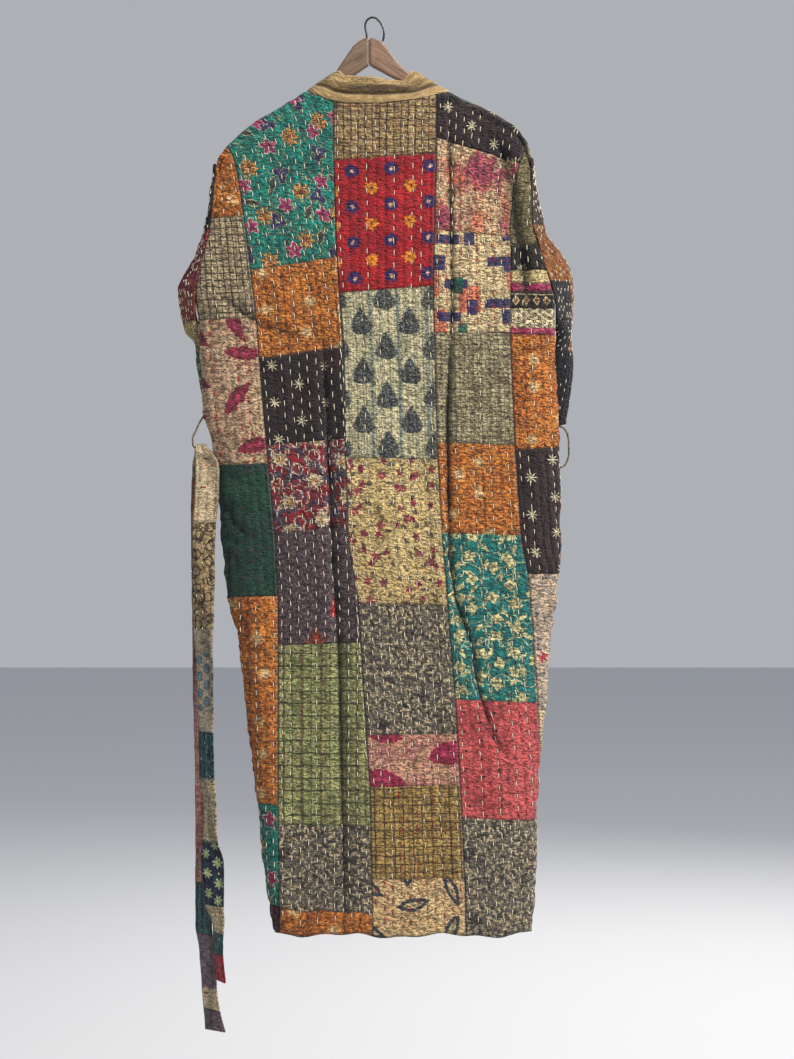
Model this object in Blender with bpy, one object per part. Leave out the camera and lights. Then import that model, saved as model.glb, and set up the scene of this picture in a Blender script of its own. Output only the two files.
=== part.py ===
"""Quilted patchwork robe hanging open on a wooden hanger.

The back of the robe faces -Y, its open front faces +Y, and the origin is the
inside of the hook's top. Tables are in millimetres in that frame.
"""

import math
from collections import namedtuple

import bmesh
import bpy
import numpy as np

MM = 0.001

# Quilted cloth
WALL = 2.2
PUFF = 0.8
ROW_PITCH = 12.7
SEAM_GAP = 0.3
ARMHOLE_GAP = 1.0
UNDERARM_GAP = 4.0
SHOULDER_ROUND = 12.0
BODY_SQUARENESS = 2.8
ARMHOLE_OPENING = 13.0
NECK_REACH = 14.0

# Neck band, belt loops and sash
BAND_WIDTH = 38.0
BAND_WALL = 2.4
LOOP_WIDTH = 8.0
LOOP_WALL = 2.0
SASH_WIDTH = 37.0
SASH_WALL = 2.6

# Hanger
WOOD_THICKNESS = 12.0
WOOD_BEVEL = 3.2
WIRE_DIAMETER = 3.0

Section = namedtuple("Section", "z left right back front band_left band_right")
BODY = (
    Section(-213.0, -225, 231, 12, 12, -93, 113),
    Section(-214.6, -225, 231, 12, 12, -93, 113),
    Section(-219.0, -226, 232, 12, 12, -93, 113),
    Section(-225.0, -227, 232, 12, 12, -92, 112),
    Section(-246.0, -229, 233, 16, 14, -90, 110),
    Section(-306.0, -235, 234, 21, 18, -84, 104),
    Section(-342.0, -244, 245, 23, 20, -78, 99),
    Section(-371.0, -251, 254, 25, 21, -74, 95),
    Section(-400.0, -256, 264, 26, 22, -69, 90),
    Section(-425.0, -255, 268, 27, 23, -65, 85),
    Section(-444.0, -251, 268, 27, 23, -62, 81),
    Section(-499.0, -249, 268, 28, 24, -53, 73),
    Section(-560.0, -246, 272, 29, 24, -40, 71),
    Section(-640.0, -228, 274, 31, 26, -24, 69),
    Section(-770.0, -216, 276, 33, 29, -15, 75),
    Section(-838.0, -210, 270, 34, 31, -15, 75),
    Section(-908.0, -193, 262, 35, 33, -11, 79),
    Section(-995.0, -183, 254, 37, 35, -9, 81),
    Section(-1154.0, -165, 241, 40, 39, -7, 83),
    Section(-1240.0, -155, 240, 42, 41, -3, 87),
    Section(-1300.0, -147, 236, 43, 42, 0, 90),
    Section(-1334.0, -139, 232, 44, 43, 1, 91),
)
FLAT_BELOW = -560.0
TIP_BELOW = -330.0
ARMHOLE_TOP = -213.0
ARMHOLE_BOTTOM = -444.0

TopPoint = namedtuple("TopPoint", "x z")
SHOULDER_LEFT = (
    TopPoint(-225, -213),
    TopPoint(-213, -189),
    TopPoint(-190, -167),
    TopPoint(-167, -149),
    TopPoint(-120, -123),
    TopPoint(-93, -106),
    TopPoint(-60, -83),
)
SHOULDER_RIGHT = (
    TopPoint(231, -204),
    TopPoint(226, -178),
    TopPoint(212, -159),
    TopPoint(181, -139),
    TopPoint(148, -124),
    TopPoint(113, -108),
    TopPoint(70, -83),
)
BACK_NECKLINE = (
    TopPoint(-93, -106),
    TopPoint(-65, -120),
    TopPoint(-39, -126),
    TopPoint(13, -127),
    TopPoint(64, -121),
    TopPoint(113, -108),
)

# Free edge of the neck band behind the hanger, from the left shoulder to the right
BandPoint = namedtuple("BandPoint", "share x y z")
BAND_TOP = (
    BandPoint(0.00, -60, 0, -83),
    BandPoint(0.09, -47, -11, -79),
    BandPoint(0.19, -37, -16, -87),
    BandPoint(0.36, -15, -19, -89),
    BandPoint(0.50, 4, -20, -90),
    BandPoint(0.65, 24, -19, -93),
    BandPoint(0.80, 43, -17, -95),
    BandPoint(0.90, 54, -14, -86),
    BandPoint(0.96, 61, -10, -80),
    BandPoint(1.00, 70, 0, -83),
)
# Across the band, from its seam to its free edge: share of the width, rise of the cloth
BandLine = namedtuple("BandLine", "share rise")
BAND_LINES = (
    BandLine(0.00, 0.0),
    BandLine(0.18, 1.6),
    BandLine(0.36, -1.2),
    BandLine(0.66, 2.0),
    BandLine(1.00, 0.0),
)

# Folds: a path down the cloth, the shift of the crest from it, the rise and the width
Fold = namedtuple("Fold", "name path shift rise width fade")
LONG_PLEAT = (
    (113, -161), (117, -415), (110, -589), (113, -792),
    (122, -850), (144, -908), (155, -980), (180, -1053),
)
INNER_PLEAT = (
    (-71, -458), (-64, -618), (-55, -792), (-48, -908), (-44, -1040), (-38, -1321),
)
BACK_FOLDS = (
    Fold("long pleat, valley", LONG_PLEAT, 0, -6.5, 8, 60),
    Fold("long pleat, ridge", LONG_PLEAT, -16, 4.0, 13, 60),
    Fold("long pleat, far side", LONG_PLEAT, 22, 2.0, 16, 60),
    Fold("inner pleat, valley", INNER_PLEAT, 0, -5.0, 9, 80),
    Fold("inner pleat, ridge", INNER_PLEAT, -18, 3.5, 14, 80),
    Fold("left underarm crease", ((-226, -400), (-190, -429), (-158, -451), (-103, -468)), 0, -4.5, 8, 30),
    Fold("right underarm fold", ((184, -176), (194, -212), (206, -250), (213, -320), (228, -415)), 0, -7, 9, 40),
    Fold("right underarm ridge", ((184, -176), (194, -212), (206, -250), (213, -320), (228, -415)), 17, 3.5, 11, 40),
    Fold("left side swell", ((-186, -520), (-178, -800), (-140, -1060), (-120, -1330)), 0, 4.5, 26, 90),
    Fold("left side hollow", ((-150, -700), (-128, -980), (-92, -1330)), 0, -4.0, 17, 120),
    Fold("middle swell", ((20, -560), (24, -900), (18, -1330)), 0, 3.5, 30, 160),
    Fold("right hem hollow", ((92, -900), (90, -1120), (84, -1334)), 0, -4.0, 18, 120),
    Fold("right side swell", ((232, -560), (226, -820), (206, -1060), (186, -1334)), 0, 4.0, 24, 100),
    Fold("shoulder blade swell", ((-120, -210), (-130, -330)), 0, 3.0, 36, 60),
)
FRONT_FOLDS = (
    Fold("left pleat, valley", ((-150, -260), (-146, -600), (-120, -980), (-96, -1330)), 0, -5.0, 10, 90),
    Fold("left pleat, ridge", ((-150, -260), (-146, -600), (-120, -980), (-96, -1330)), 17, 3.5, 13, 90),
    Fold("left inner hollow", ((-92, -420), (-84, -700), (-62, -1000), (-48, -1334)), 0, -3.5, 14, 120),
    Fold("left side swell", ((-196, -640), (-170, -900), (-132, -1300)), 0, 3.5, 20, 110),
    Fold("right pleat, valley", ((152, -250), (160, -560), (158, -900), (142, -1330)), 0, -5.0, 10, 90),
    Fold("right pleat, ridge", ((152, -250), (160, -560), (158, -900), (142, -1330)), -17, 3.5, 13, 90),
    Fold("right side hollow", ((226, -560), (222, -880), (196, -1334)), 0, -3.5, 14, 120),
    Fold("right inner swell", ((112, -500), (116, -900), (114, -1330)), 0, 3.0, 18, 120),
)

# Sleeves by height: outer fold, inner fold and half the thickness. Down to the underarm
# each level is open to the armhole, and the inner fold is the armhole's edge.
Level = namedtuple("Level", "z outer_x outer_y inner_x inner_y half")
SLEEVE_LEFT = (
    Level(-215, -228.5, 0, 0, 0, 6),
    Level(-236, -231, 0, 0, 0, 10),
    Level(-272, -236, 1, 0, 0, 13),
    Level(-305, -242.5, 2, 0, 0, 14),
    Level(-325, -248, 4, 0, 0, 14),
    Level(-345, -256, 6, 0, 0, 14),
    Level(-361, -264.5, 9, 0, 0, 14),
    Level(-378, -274.5, 12, 0, 0, 14),
    Level(-394, -283.5, 15, 0, 0, 14),
    Level(-412, -281.5, 18, 0, 0, 14),
    Level(-429, -278.5, 21, 0, 0, 14),
    Level(-444, -276.5, 23, 0, 0, 13),
    Level(-457, -273.5, 26, -255, 18, 13),
    Level(-474, -259.0, 32, -237, 43, 14),
    Level(-499, -257, 30, -212, 58, 15),
    Level(-529, -252, 28, -186, 72, 15),
    Level(-560, -247, 27, -160, 80, 15),
    Level(-592, -242, 26, -138, 86, 15),
)
SLEEVE_RIGHT = (
    Level(-206, 234.5, 0, 0, 0, 6),
    Level(-236, 238, 0, 0, 0, 10),
    Level(-266, 243.5, 1, 0, 0, 13),
    Level(-292, 249.5, 2, 0, 0, 14),
    Level(-317, 256, 4, 0, 0, 14),
    Level(-331, 266, 6, 0, 0, 14),
    Level(-346, 278, 9, 0, 0, 15),
    Level(-370, 290.5, 12, 0, 0, 16),
    Level(-394, 295.5, 15, 0, 0, 16),
    Level(-412, 296, 18, 0, 0, 15),
    Level(-429, 295, 21, 0, 0, 14),
    Level(-444, 294, 23, 0, 0, 13),
    Level(-457, 293, 26, 272, 18, 13),
    Level(-474, 294, 28, 260, 40, 14),
    Level(-499, 296, 28, 236, 56, 15),
    Level(-529, 294, 28, 212, 70, 15),
    Level(-560, 290, 27, 190, 80, 15),
    Level(-592, 286, 26, 170, 86, 15),
)
CUFF_TILT = 26.0
SLEEVE_ROWS = 18

# Belt loops, as seen from behind
LOOP_LEFT = (
    (-244.6, -582), (-250, -590), (-256, -603), (-261, -616), (-260.2, -625),
    (-256, -628.0), (-243, -628.0), (-237, -630.5), (-232.2, -636),
)
LOOP_RIGHT = (
    (274.7, -596), (281, -599), (287, -608), (289, -622), (289, -637), (286.5, -648), (281, -655.5), (276.6, -657),
)

# Sash, from the end of its front tail over the left loop to the end of its back tail
SashRow = namedtuple("SashRow", "z x y width")
SASH = (
    SashRow(-1405, -219, -14, 16),
    SashRow(-1385, -221, -15, 15),
    SashRow(-1355, -223, -16, 15),
    SashRow(-1322, -222, -17, 18),
    SashRow(-1296, -228, -18, 28),
    SashRow(-1262, -230, -18, 33),
    SashRow(-1232, -231, -18, 34),
    SashRow(-1196, -234, -18, 22),
    SashRow(-1145, -234, -18, 19),
    SashRow(-1108, -239, -18, 23),
    SashRow(-1054, -240, -18, 22),
    SashRow(-1000, -241, -18, 24),
    SashRow(-950, -242, -18, 25),
    SashRow(-900, -244, -18, 29),
    SashRow(-850, -244, -19, 33),
    SashRow(-795, -244, -20, 34),
    SashRow(-748, -243, -21, 35),
    SashRow(-700, -239, -21, 36),
    SashRow(-662, -238, -20, 36),
    SashRow(-643, -241, -17, 31),
    SashRow(-632, -246, -12, 22),
    SashRow(-625.9, -248.4, -7.5, 15),
    SashRow(-624.0, -248.4, 0, 14),
    SashRow(-625.9, -248.4, 7.5, 15),
    SashRow(-634, -249, 12, 20),
    SashRow(-652, -249, 15, 28),
    SashRow(-700, -250, 16, 30),
    SashRow(-780, -251, 16, 28),
    SashRow(-860, -251, 15, 26),
    SashRow(-930, -251, 15, 24),
    SashRow(-1000, -250, 15, 24),
    SashRow(-1090, -248, 14, 23),
    SashRow(-1190, -247, 14, 23),
    SashRow(-1280, -247, 15, 24),
    SashRow(-1330, -246, 17, 25),
    SashRow(-1368, -241, 19, 24),
    SashRow(-1405, -239, 18, 23),
    SashRow(-1440, -236, 15, 24),
    SashRow(-1464, -232, 13, 27),
    SashRow(-1483, -229, 13, 30),
)

# Hanger: the left half's outline, then the right half's, along the top and back below
HANGER_LEFT = (
    (-3.2, -29), (-10, -30), (-18, -34), (-27, -42), (-36, -55), (-44, -67), (-53, -81), (-60, -88),
    (-93, -112), (-120, -126.5), (-150, -143.5), (-180, -164), (-196, -177), (-199, -185), (-195, -193),
    (-186, -193), (-150, -168), (-93, -135), (-60, -108), (-36, -91.5), (-3.2, -69),
)
HANGER_RIGHT = (
    (-2.8, -29), (5, -30), (13, -33.5), (22, -42), (31, -54), (40, -66), (50, -76), (60, -84.5), (70, -90),
    (113, -113.5), (148, -127.5), (181, -143), (200, -158), (206, -166), (203, -175), (194, -178),
    (160, -163), (113, -138), (70, -112), (39, -91.5), (-2.8, -69),
)
HOOK = (
    (-6.5, -28.0), (-6.6, -24.0), (-7.6, -19.0), (-8.9, -13.5), (-8.6, -8.0), (-6.0, -2.5), (0.0, 1.5),
    (7.0, 0.2), (12.5, -5.0), (16.6, -12.0), (18.8, -19.5), (18.6, -27.0), (16.8, -33.4),
)
STEM_HOLE = 1.9
STEM_DEPTH = 16.0

Look = namedtuple("Look", "color roughness metallic")
LOOKS = {
    "quilt_back": Look((0.42, 0.22, 0.12), 0.92, 0.0),
    "quilt_left": Look((0.10, 0.27, 0.22), 0.92, 0.0),
    "quilt_right": Look((0.52, 0.26, 0.06), 0.92, 0.0),
    "sleeve_left": Look((0.38, 0.05, 0.08), 0.92, 0.0),
    "sleeve_right": Look((0.47, 0.22, 0.05), 0.92, 0.0),
    "band": Look((0.47, 0.31, 0.14), 0.85, 0.0),
    "loop": Look((0.36, 0.28, 0.14), 0.92, 0.0),
    "sash": Look((0.60, 0.50, 0.33), 0.92, 0.0),
    "wood": Look((0.27, 0.19, 0.13), 0.60, 0.0),
    "wire": Look((0.03, 0.03, 0.03), 0.45, 1.0),
}


def clear_scene():
    """Remove every object of the scene."""
    for old in list(bpy.data.objects):
        bpy.data.objects.remove(old, do_unlink=True)


def smooth(low, high, value):
    """Return 0 below low, 1 above high and a smooth step between."""
    share = np.clip((value - low) / (high - low), 0.0, 1.0)
    return share * share * (3.0 - 2.0 * share)


def column(rows, name, at, key="z"):
    """Interpolate one named column of a table at the given heights."""
    keys = np.array([getattr(row, key) for row in rows], float)
    values = np.array([getattr(row, name) for row in rows], float)
    order = np.argsort(keys)
    return np.interp(at, keys[order], values[order])


def armhole_depth(z):
    """Half the width of the armhole at a height."""
    middle = (ARMHOLE_TOP + ARMHOLE_BOTTOM) / 2
    reach = (ARMHOLE_TOP - ARMHOLE_BOTTOM) / 2
    share = np.clip(1.0 - ((z - middle) / reach) ** 2, 0.0, 1.0)
    return ARMHOLE_OPENING * np.sqrt(share)


def fold_rise(folds, x, z):
    """Sum the rises of all folds at points of the cloth, seen flat."""
    total = np.zeros_like(x)
    for fold in folds:
        path = np.array(fold.path, float)
        steps = np.diff(path, axis=0)
        lengths = np.hypot(steps[:, 0], steps[:, 1])
        starts = np.concatenate([[0.0], np.cumsum(lengths)])
        nearest = np.full(x.shape, 1e9)
        side = np.zeros_like(x)
        along = np.zeros_like(x)
        for start, step, length, begun in zip(path[:-1], steps, lengths, starts):
            unit = step / length
            dx = x - start[0]
            dz = z - start[1]
            run = dx * unit[0] + dz * unit[1]
            held = np.clip(run, 0.0, length)
            away = np.hypot(dx - held * unit[0], dz - held * unit[1])
            closer = away < nearest
            cross = unit[0] * dz - unit[1] * dx
            nearest = np.where(closer, away, nearest)
            side = np.where(closer, np.sign(cross) * away, side)
            along = np.where(closer, begun + run, along)
        window = smooth(-fold.fade / 2, fold.fade, along)
        window = window * smooth(-fold.fade / 2, fold.fade, starts[-1] - along)
        total += fold.rise * window * np.exp(-(((side - fold.shift) / fold.width) ** 2))
    return total


def half_section(left, right, edge_share, count):
    """Points across a flattened tube's half, spaced evenly along the cloth: x, depth share."""
    reach = (right - left) / 2
    middle = (right + left) / 2
    power = 2.0 / BODY_SQUARENESS
    start = math.asin(min(0.999, edge_share ** (1.0 / power))) if edge_share > 0 else 0.0
    angle = np.linspace(start, math.pi - start, 721)
    across = -np.sign(np.cos(angle)) * np.abs(np.cos(angle)) ** power
    depth = np.abs(np.sin(angle)) ** power
    across = across * (reach / max(abs(across[0]), 1e-9))
    run = np.concatenate([[0.0], np.cumsum(np.hypot(np.diff(across), 30.0 * np.diff(depth)))])
    even = np.linspace(0.0, run[-1], count)
    return middle + np.interp(even, run, across), np.interp(even, run, depth)


def top_height(x, front):
    """Height of the cloth's upper edge at each x."""
    left = SHOULDER_LEFT if front else SHOULDER_LEFT[:-2]
    right = SHOULDER_RIGHT if front else SHOULDER_RIGHT[:-2]
    line = sorted(left + (() if front else BACK_NECKLINE) + right)
    return np.interp(x, [point.x for point in line], [point.z for point in line])


def slope_height(x, front):
    """Height of the straight shoulder slopes under the rounded upper edge."""
    ends = [SHOULDER_LEFT[0], SHOULDER_LEFT[-2], SHOULDER_RIGHT[-2], SHOULDER_RIGHT[0]]
    middle = [SHOULDER_LEFT[-1], SHOULDER_RIGHT[-1]] if front else list(BACK_NECKLINE[1:-1])
    line = sorted(ends + middle)
    return np.interp(x, [point.x for point in line], [point.z for point in line])


def body_point_rows(front, count):
    """Middle surface of one whole side of the body: an array of rows of points."""
    heights = [row.z for row in BODY]
    across = []
    depth = []
    for row in BODY:
        full = (row.front if front else row.back) * arch(ARMHOLE_TOP - row.z, 0.0)
        opening = float(armhole_depth(np.array(row.z)))
        share = min(0.95, opening / full) if row.z < BODY[3].z else 0.95
        x, deep = half_section(row.left, row.right, share, count)
        across.append(x)
        depth.append(deep)
    across = np.array(across)
    depth = np.array(depth)
    level = np.array(heights)[:, None] + np.zeros_like(across)
    rise = top_height(across[0], front) - heights[0]
    slope = slope_height(across[0], front) - heights[0]
    fade = 1.0 - smooth(0.0, BODY[3].z - FLAT_BELOW, BODY[3].z - level)
    tip_fade = 1.0 - smooth(0.0, BODY[3].z - TIP_BELOW, BODY[3].z - level)
    z = level + slope[None, :] * fade + (rise - slope)[None, :] * tip_fade
    drop = z[0][None, :] - z
    neck = np.zeros(count)
    if not front:
        share = (across[0] - BACK_NECKLINE[0].x) / (BACK_NECKLINE[-1].x - BACK_NECKLINE[0].x)
        neck = np.sin(np.pi * np.clip(share, 0.0, 1.0)) ** 0.7
    size = column(BODY, "front" if front else "back", level)
    y = size * depth * arch(drop, neck[None, :])
    y = y + NECK_REACH * neck[None, :] * np.exp(-drop / 90.0)
    inside = smooth(0.0, 0.45, depth) * smooth(2.0, 26.0, drop + 30.0 * neck[None, :])
    y = y + fold_rise(FRONT_FOLDS if front else BACK_FOLDS, across, z) * inside
    return across, y, z


def arch(drop, neck):
    """Share of the full depth at a drop below the shoulder fold, which is round."""
    share = np.clip(drop / SHOULDER_ROUND + neck, 0.0, 1.0)
    return np.sqrt(np.clip(1.0 - (1.0 - share) ** 2, 0.0, 1.0))


def grid(x, y, z):
    """Stack three arrays as points."""
    return np.stack([x, y, z], axis=-1)


def normals_of(points, flip, shut=None):
    """Unit normals of a grid of points, which is a tube from the row shut on."""
    across = np.gradient(points, axis=1)
    if shut is not None:
        across[shut:, 0] = (points[shut:, 1] - points[shut:, -2]) / 2
        across[shut:, -1] = across[shut:, 0]
    down = np.gradient(points, axis=0)
    normal = np.cross(across, down)
    if flip:
        normal = -normal
    return unit(normal)


def unit(vectors):
    """Scale vectors to length one."""
    length = np.linalg.norm(vectors, axis=-1, keepdims=True)
    return vectors / np.maximum(length, 1e-9)


def new_object(name, bm, look, smooth_shade=True):
    """Turn a bmesh in millimetres into an object of the scene, in metres."""
    for vertex in bm.verts:
        vertex.co *= MM
    bmesh.ops.recalc_face_normals(bm, faces=bm.faces)
    mesh = bpy.data.meshes.new(name)
    bm.to_mesh(mesh)
    bm.free()
    if smooth_shade:
        mesh.shade_smooth()
        mesh.set_sharp_from_angle(angle=math.radians(50))
    made = bpy.data.objects.new(name, mesh)
    bpy.context.scene.collection.objects.link(made)
    made.data.materials.append(material(name, LOOKS[look]))
    return made


def material(name, look):
    """Make the object's own material."""
    made = bpy.data.materials.new(name)
    made.use_nodes = True
    shader = made.node_tree.nodes["Principled BSDF"]
    shader.inputs["Base Color"].default_value = (*look.color, 1.0)
    shader.inputs["Roughness"].default_value = look.roughness
    shader.inputs["Metallic"].default_value = look.metallic
    return made


def wall(bm, middle, normals, thickness, puff, shut=None):
    """Close a wall round a middle surface: quilted outside, plain inside.

    From the row shut on, the last column is the first one again and the wall is a tube.
    """
    rows, columns = middle.shape[:2]
    shut = rows if shut is None else shut
    crest = (np.arange(columns) % 2)[None, :, None] * puff
    fade = np.ones((rows, 1, 1))
    fade[0] = 0.0
    fade[-1] = 0.0
    outer = middle + normals * (thickness / 2 + crest * fade)
    inner = (middle - normals * thickness / 2)[:, ::2]
    top = []
    under = []
    for r in range(rows):
        for rim, points in ((top, outer[r]), (under, inner[r])):
            made = [bm.verts.new(point) for point in points[:-1]]
            made.append(made[0] if r >= shut else bm.verts.new(points[-1]))
            rim.append(made)
    for r in range(rows - 1):
        for c in range(columns - 1):
            bm.faces.new((top[r][c], top[r + 1][c], top[r + 1][c + 1], top[r][c + 1]))
        for c in range(columns // 2):
            bm.faces.new((under[r][c], under[r][c + 1], under[r + 1][c + 1], under[r + 1][c]))
    for r, order in ((0, 1), (rows - 1, -1)):
        for c in range(columns // 2):
            ring = (
                under[r][c], top[r][2 * c], top[r][2 * c + 1],
                top[r][2 * c + 2], under[r][c + 1],
            )
            bm.faces.new(ring[::order])
    for c, order in ((0, 1), (-1, -1)):
        for r in range(min(shut, rows - 1)):
            side = (under[r][c], under[r + 1][c], top[r + 1][c], top[r][c])
            bm.faces.new(side[::order])


def pull_in(points, row_gap_top, column_gap_first, column_gap_last):
    """Draw a panel's edges back along the cloth to leave its half of each seam."""
    made = points.copy()
    if row_gap_top:
        made[0] += unit(points[1] - points[0]) * row_gap_top
    if column_gap_first:
        made[:, 0] += unit(points[:, 1] - points[:, 0]) * column_gap_first
    if column_gap_last:
        made[:, -1] += unit(points[:, -2] - points[:, -1]) * column_gap_last
    return made


def seam_normals(normals, points, open_sides, facing):
    """Turn the normals at the seams so that the neighbours' cut edges face each other."""
    made = normals.copy()
    for side in open_sides:
        for r, row in enumerate(BODY):
            outward = -1.0 if points[r, side, 0] < 0 else 1.0
            if row.z > ARMHOLE_BOTTOM:
                made[r, side] = (0.0, facing, 0.0)
            elif row.z == ARMHOLE_BOTTOM:
                made[r, side] = (outward, 0.0, -0.6)
            else:
                made[r, side, 1] = 0.0
        made[0, side] = (0.0, 0.0, 1.0)
        made[1, side] = (0.0, facing, 1.0)
    return unit(made)


def neck_seam_normals(x):
    """Outward direction of the cut edges along the back neckline, turning over the shoulders."""
    share = (x - BACK_NECKLINE[0].x) / (BACK_NECKLINE[-1].x - BACK_NECKLINE[0].x)
    back = smooth(0.0, 0.16, np.minimum(share, 1.0 - share))
    tilt = np.where(share < 0.5, -0.53, 0.47)
    return unit(grid(tilt * (1.0 - back), -back, 0.86 * (1.0 - back)))


def back_grid():
    """Middle surface and normals of the back."""
    count = 2 * round(540.0 / ROW_PITCH) + 1
    x, y, z = body_point_rows(False, count)
    points = grid(x, -y, z)
    normals = seam_normals(normals_of(points, True), points, (0, -1), -1.0)
    shoulder = points[0, :, 1] > -0.01
    normals[0, shoulder, 1] = 0.0
    normals[0, ~shoulder] = neck_seam_normals(points[0, ~shoulder, 0])
    return points, unit(normals)


def front_grid(left, with_band=True):
    """Middle surface and normals of one front and its band, from the side to the edge."""
    x, y, z = body_point_rows(True, 601)
    side = 0 if left else -1
    rows = []
    panel = round(205.0 / ROW_PITCH) * 2 + 1
    band = len(BAND_LINES)
    for r, row in enumerate(BODY):
        line = grid(x[r], y[r], z[r])
        if not left:
            line = line[::-1]
        run = np.concatenate([[0.0], np.cumsum(np.linalg.norm(np.diff(line, axis=0), axis=1))])
        seam_x = row.band_left if left else row.band_right
        order = line[:, 0] if left else -line[:, 0]
        seam_run = np.interp(seam_x if left else -seam_x, order, run)
        free_x = SHOULDER_LEFT[-1].x if left else SHOULDER_RIGHT[-1].x
        top_width = np.interp(free_x if left else -free_x, order, run) - seam_run
        width = BAND_WIDTH + (top_width - BAND_WIDTH) * max(0.0, 1.0 - (ARMHOLE_TOP - row.z) / 40.0)
        at = np.concatenate([
            np.linspace(0.0, seam_run, panel),
            seam_run + SEAM_GAP + (width - SEAM_GAP) * np.array([point.share for point in BAND_LINES]),
        ])
        rows.append([[np.interp(a, run, line[:, k]) for k in range(3)] for a in at])
    points = np.array(rows)
    normals = normals_of(points, left is False)
    normals = seam_normals(normals, points, (0,), 1.0)
    normals[0, :, 1] = 0.0
    normals = unit(normals)
    split = panel
    return (points[:, :split], normals[:, :split]), (points[:, split:split + band], normals[:, split:split + band])


def make_back():
    """Build the back panel."""
    points, normals = back_grid()
    bm = bmesh.new()
    points = pull_in(points, SEAM_GAP / 2, SEAM_GAP / 2, SEAM_GAP / 2)
    wall(bm, points, normals, WALL, PUFF)
    return new_object("back_panel", bm, "quilt_back")


def make_front(left):
    """Build one front panel and its length of the band."""
    (panel, panel_normals), (band, band_normals) = front_grid(left)
    side = "left" if left else "right"
    bm = bmesh.new()
    wall(bm, pull_in(panel, SEAM_GAP / 2, SEAM_GAP / 2, 0.0), panel_normals, WALL, PUFF)
    new_object(f"front_panel_{side}", bm, f"quilt_{side}")
    rises = np.array([line.rise for line in BAND_LINES])[None, :, None]
    fade = smooth(0.0, 60.0, ARMHOLE_TOP - np.array([row.z for row in BODY]))[:, None, None]
    band = band + band_normals * rises * fade * 0.5
    bm = bmesh.new()
    wall(bm, pull_in(band, SEAM_GAP / 2, 0.0, 0.0), band_normals, BAND_WALL, 0.0)
    return new_object(f"collar_band_{side}", bm, "band")


def make_neck_band():
    """Build the part of the band that stands behind the neck."""
    points, normals = back_grid()
    low = BACK_NECKLINE[0].x
    high = BACK_NECKLINE[-1].x
    seam_x = np.linspace(low, high, 25)
    row = points[0]
    seam = grid(seam_x, np.interp(seam_x, row[:, 0], row[:, 1]), np.interp(seam_x, row[:, 0], row[:, 2]))
    share = np.linspace(0.0, 1.0, 25)
    free = grid(*(column(BAND_TOP, name, share, "share") for name in ("x", "y", "z")))
    lean = unit(free - seam)
    rows = []
    for line in BAND_LINES:
        rows.append(seam + (free - seam) * line.share)
    band = np.array(rows)
    band[0] += lean * SEAM_GAP
    normals = normals_of(band, False)
    away = np.sin(np.pi * share)[:, None]
    for r, line in enumerate(BAND_LINES):
        band[r] += normals[r] * line.rise * away
    normals = normals_of(band, False)
    normals[:, 0, 1] = 0.0
    normals[:, -1, 1] = 0.0
    normals[0] = neck_seam_normals(seam_x)
    normals = unit(normals)
    band = pull_in(band, 0.0, SEAM_GAP / 2, SEAM_GAP / 2)
    bm = bmesh.new()
    wall(bm, band, normals, BAND_WALL, 0.0)
    return new_object("collar_band_neck", bm, "band")


def sleeve_grid(levels, left, columns):
    """Middle surface and normals of a sleeve, level by level, and its first closed level."""
    outward = -1.0 if left else 1.0
    back = back_grid()[0][:, 0 if left else -1][::-1]
    front = front_grid(left)[0][0][:, 0][::-1]
    shut = [level.z > ARMHOLE_BOTTOM for level in levels].index(False)
    turn = np.linspace(-1.0, 1.0, 1201)
    rows = []
    for k, level in enumerate(levels):
        inner_x = level.inner_x
        if k <= shut:
            gap = ARMHOLE_GAP + (UNDERARM_GAP - ARMHOLE_GAP) * smooth(0.0, 44.0, -400.0 - level.z)
            inner_x = np.interp(level.z, back[:, 2], back[:, 0]) + outward * gap
        if k < shut:
            out = 1.0 - turn ** 2
            back_edge = -np.interp(level.z, back[:, 2], back[:, 1])
            front_edge = np.interp(level.z, front[:, 2], front[:, 1])
            edge = np.where(turn < 0, back_edge, front_edge)
            thick = turn * (edge + (max(level.half, back_edge) - edge) * out)
        else:
            out = 0.5 + 0.5 * np.cos(np.pi * turn)
            thick = level.half * np.sin(np.pi * turn)
        x = inner_x + (level.outer_x - inner_x) * out
        y = level.inner_y + (level.outer_y - level.inner_y) * out + thick
        hang = 1.0 - smooth(-592.0, -474.0, level.z)
        z = level.z - CUFF_TILT * hang * (1.0 - out)
        loop = grid(x, y, z)
        run = np.concatenate([[0.0], np.cumsum(np.linalg.norm(np.diff(loop, axis=0), axis=1))])
        even = np.linspace(0.0, run[-1], columns + 1)
        rows.append(np.stack([np.interp(even, run, loop[:, axis]) for axis in range(3)], axis=-1))
    points = np.array(rows)
    normals = normals_of(points, not left, shut)
    normals[:shut, 0] = (0.0, -1.0, 0.0)
    normals[:shut, -1] = (0.0, 1.0, 0.0)
    normals[shut, 0] = (-outward, 0.0, -0.6)
    normals[shut, -1] = normals[shut, 0]
    normals[0, :, 0] = 0.0
    normals[0, :, 2] = np.abs(normals[0, :, 2]) + 0.5
    return points, unit(normals), shut


def make_sleeve(left):
    """Build one sleeve: open to the armhole above, a tube below, open at the cuff."""
    side = "left" if left else "right"
    points, normals, shut = sleeve_grid(SLEEVE_LEFT if left else SLEEVE_RIGHT, left, 2 * SLEEVE_ROWS)
    bm = bmesh.new()
    wall(bm, points, normals, WALL, PUFF, shut)
    return new_object(f"sleeve_{side}", bm, f"sleeve_{side}")


def strip(name, path, thickness, look):
    """Build a strip from rows of a middle line, a half width vector and a face normal."""
    bm = bmesh.new()
    centre, half, normal = path
    middle = np.stack([centre - half, centre + normal * 0.9, centre + half], axis=1)
    normals = np.stack([normal] * 3, axis=1)
    wall(bm, middle, normals, thickness, 0.0)
    return new_object(name, bm, look)


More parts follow.
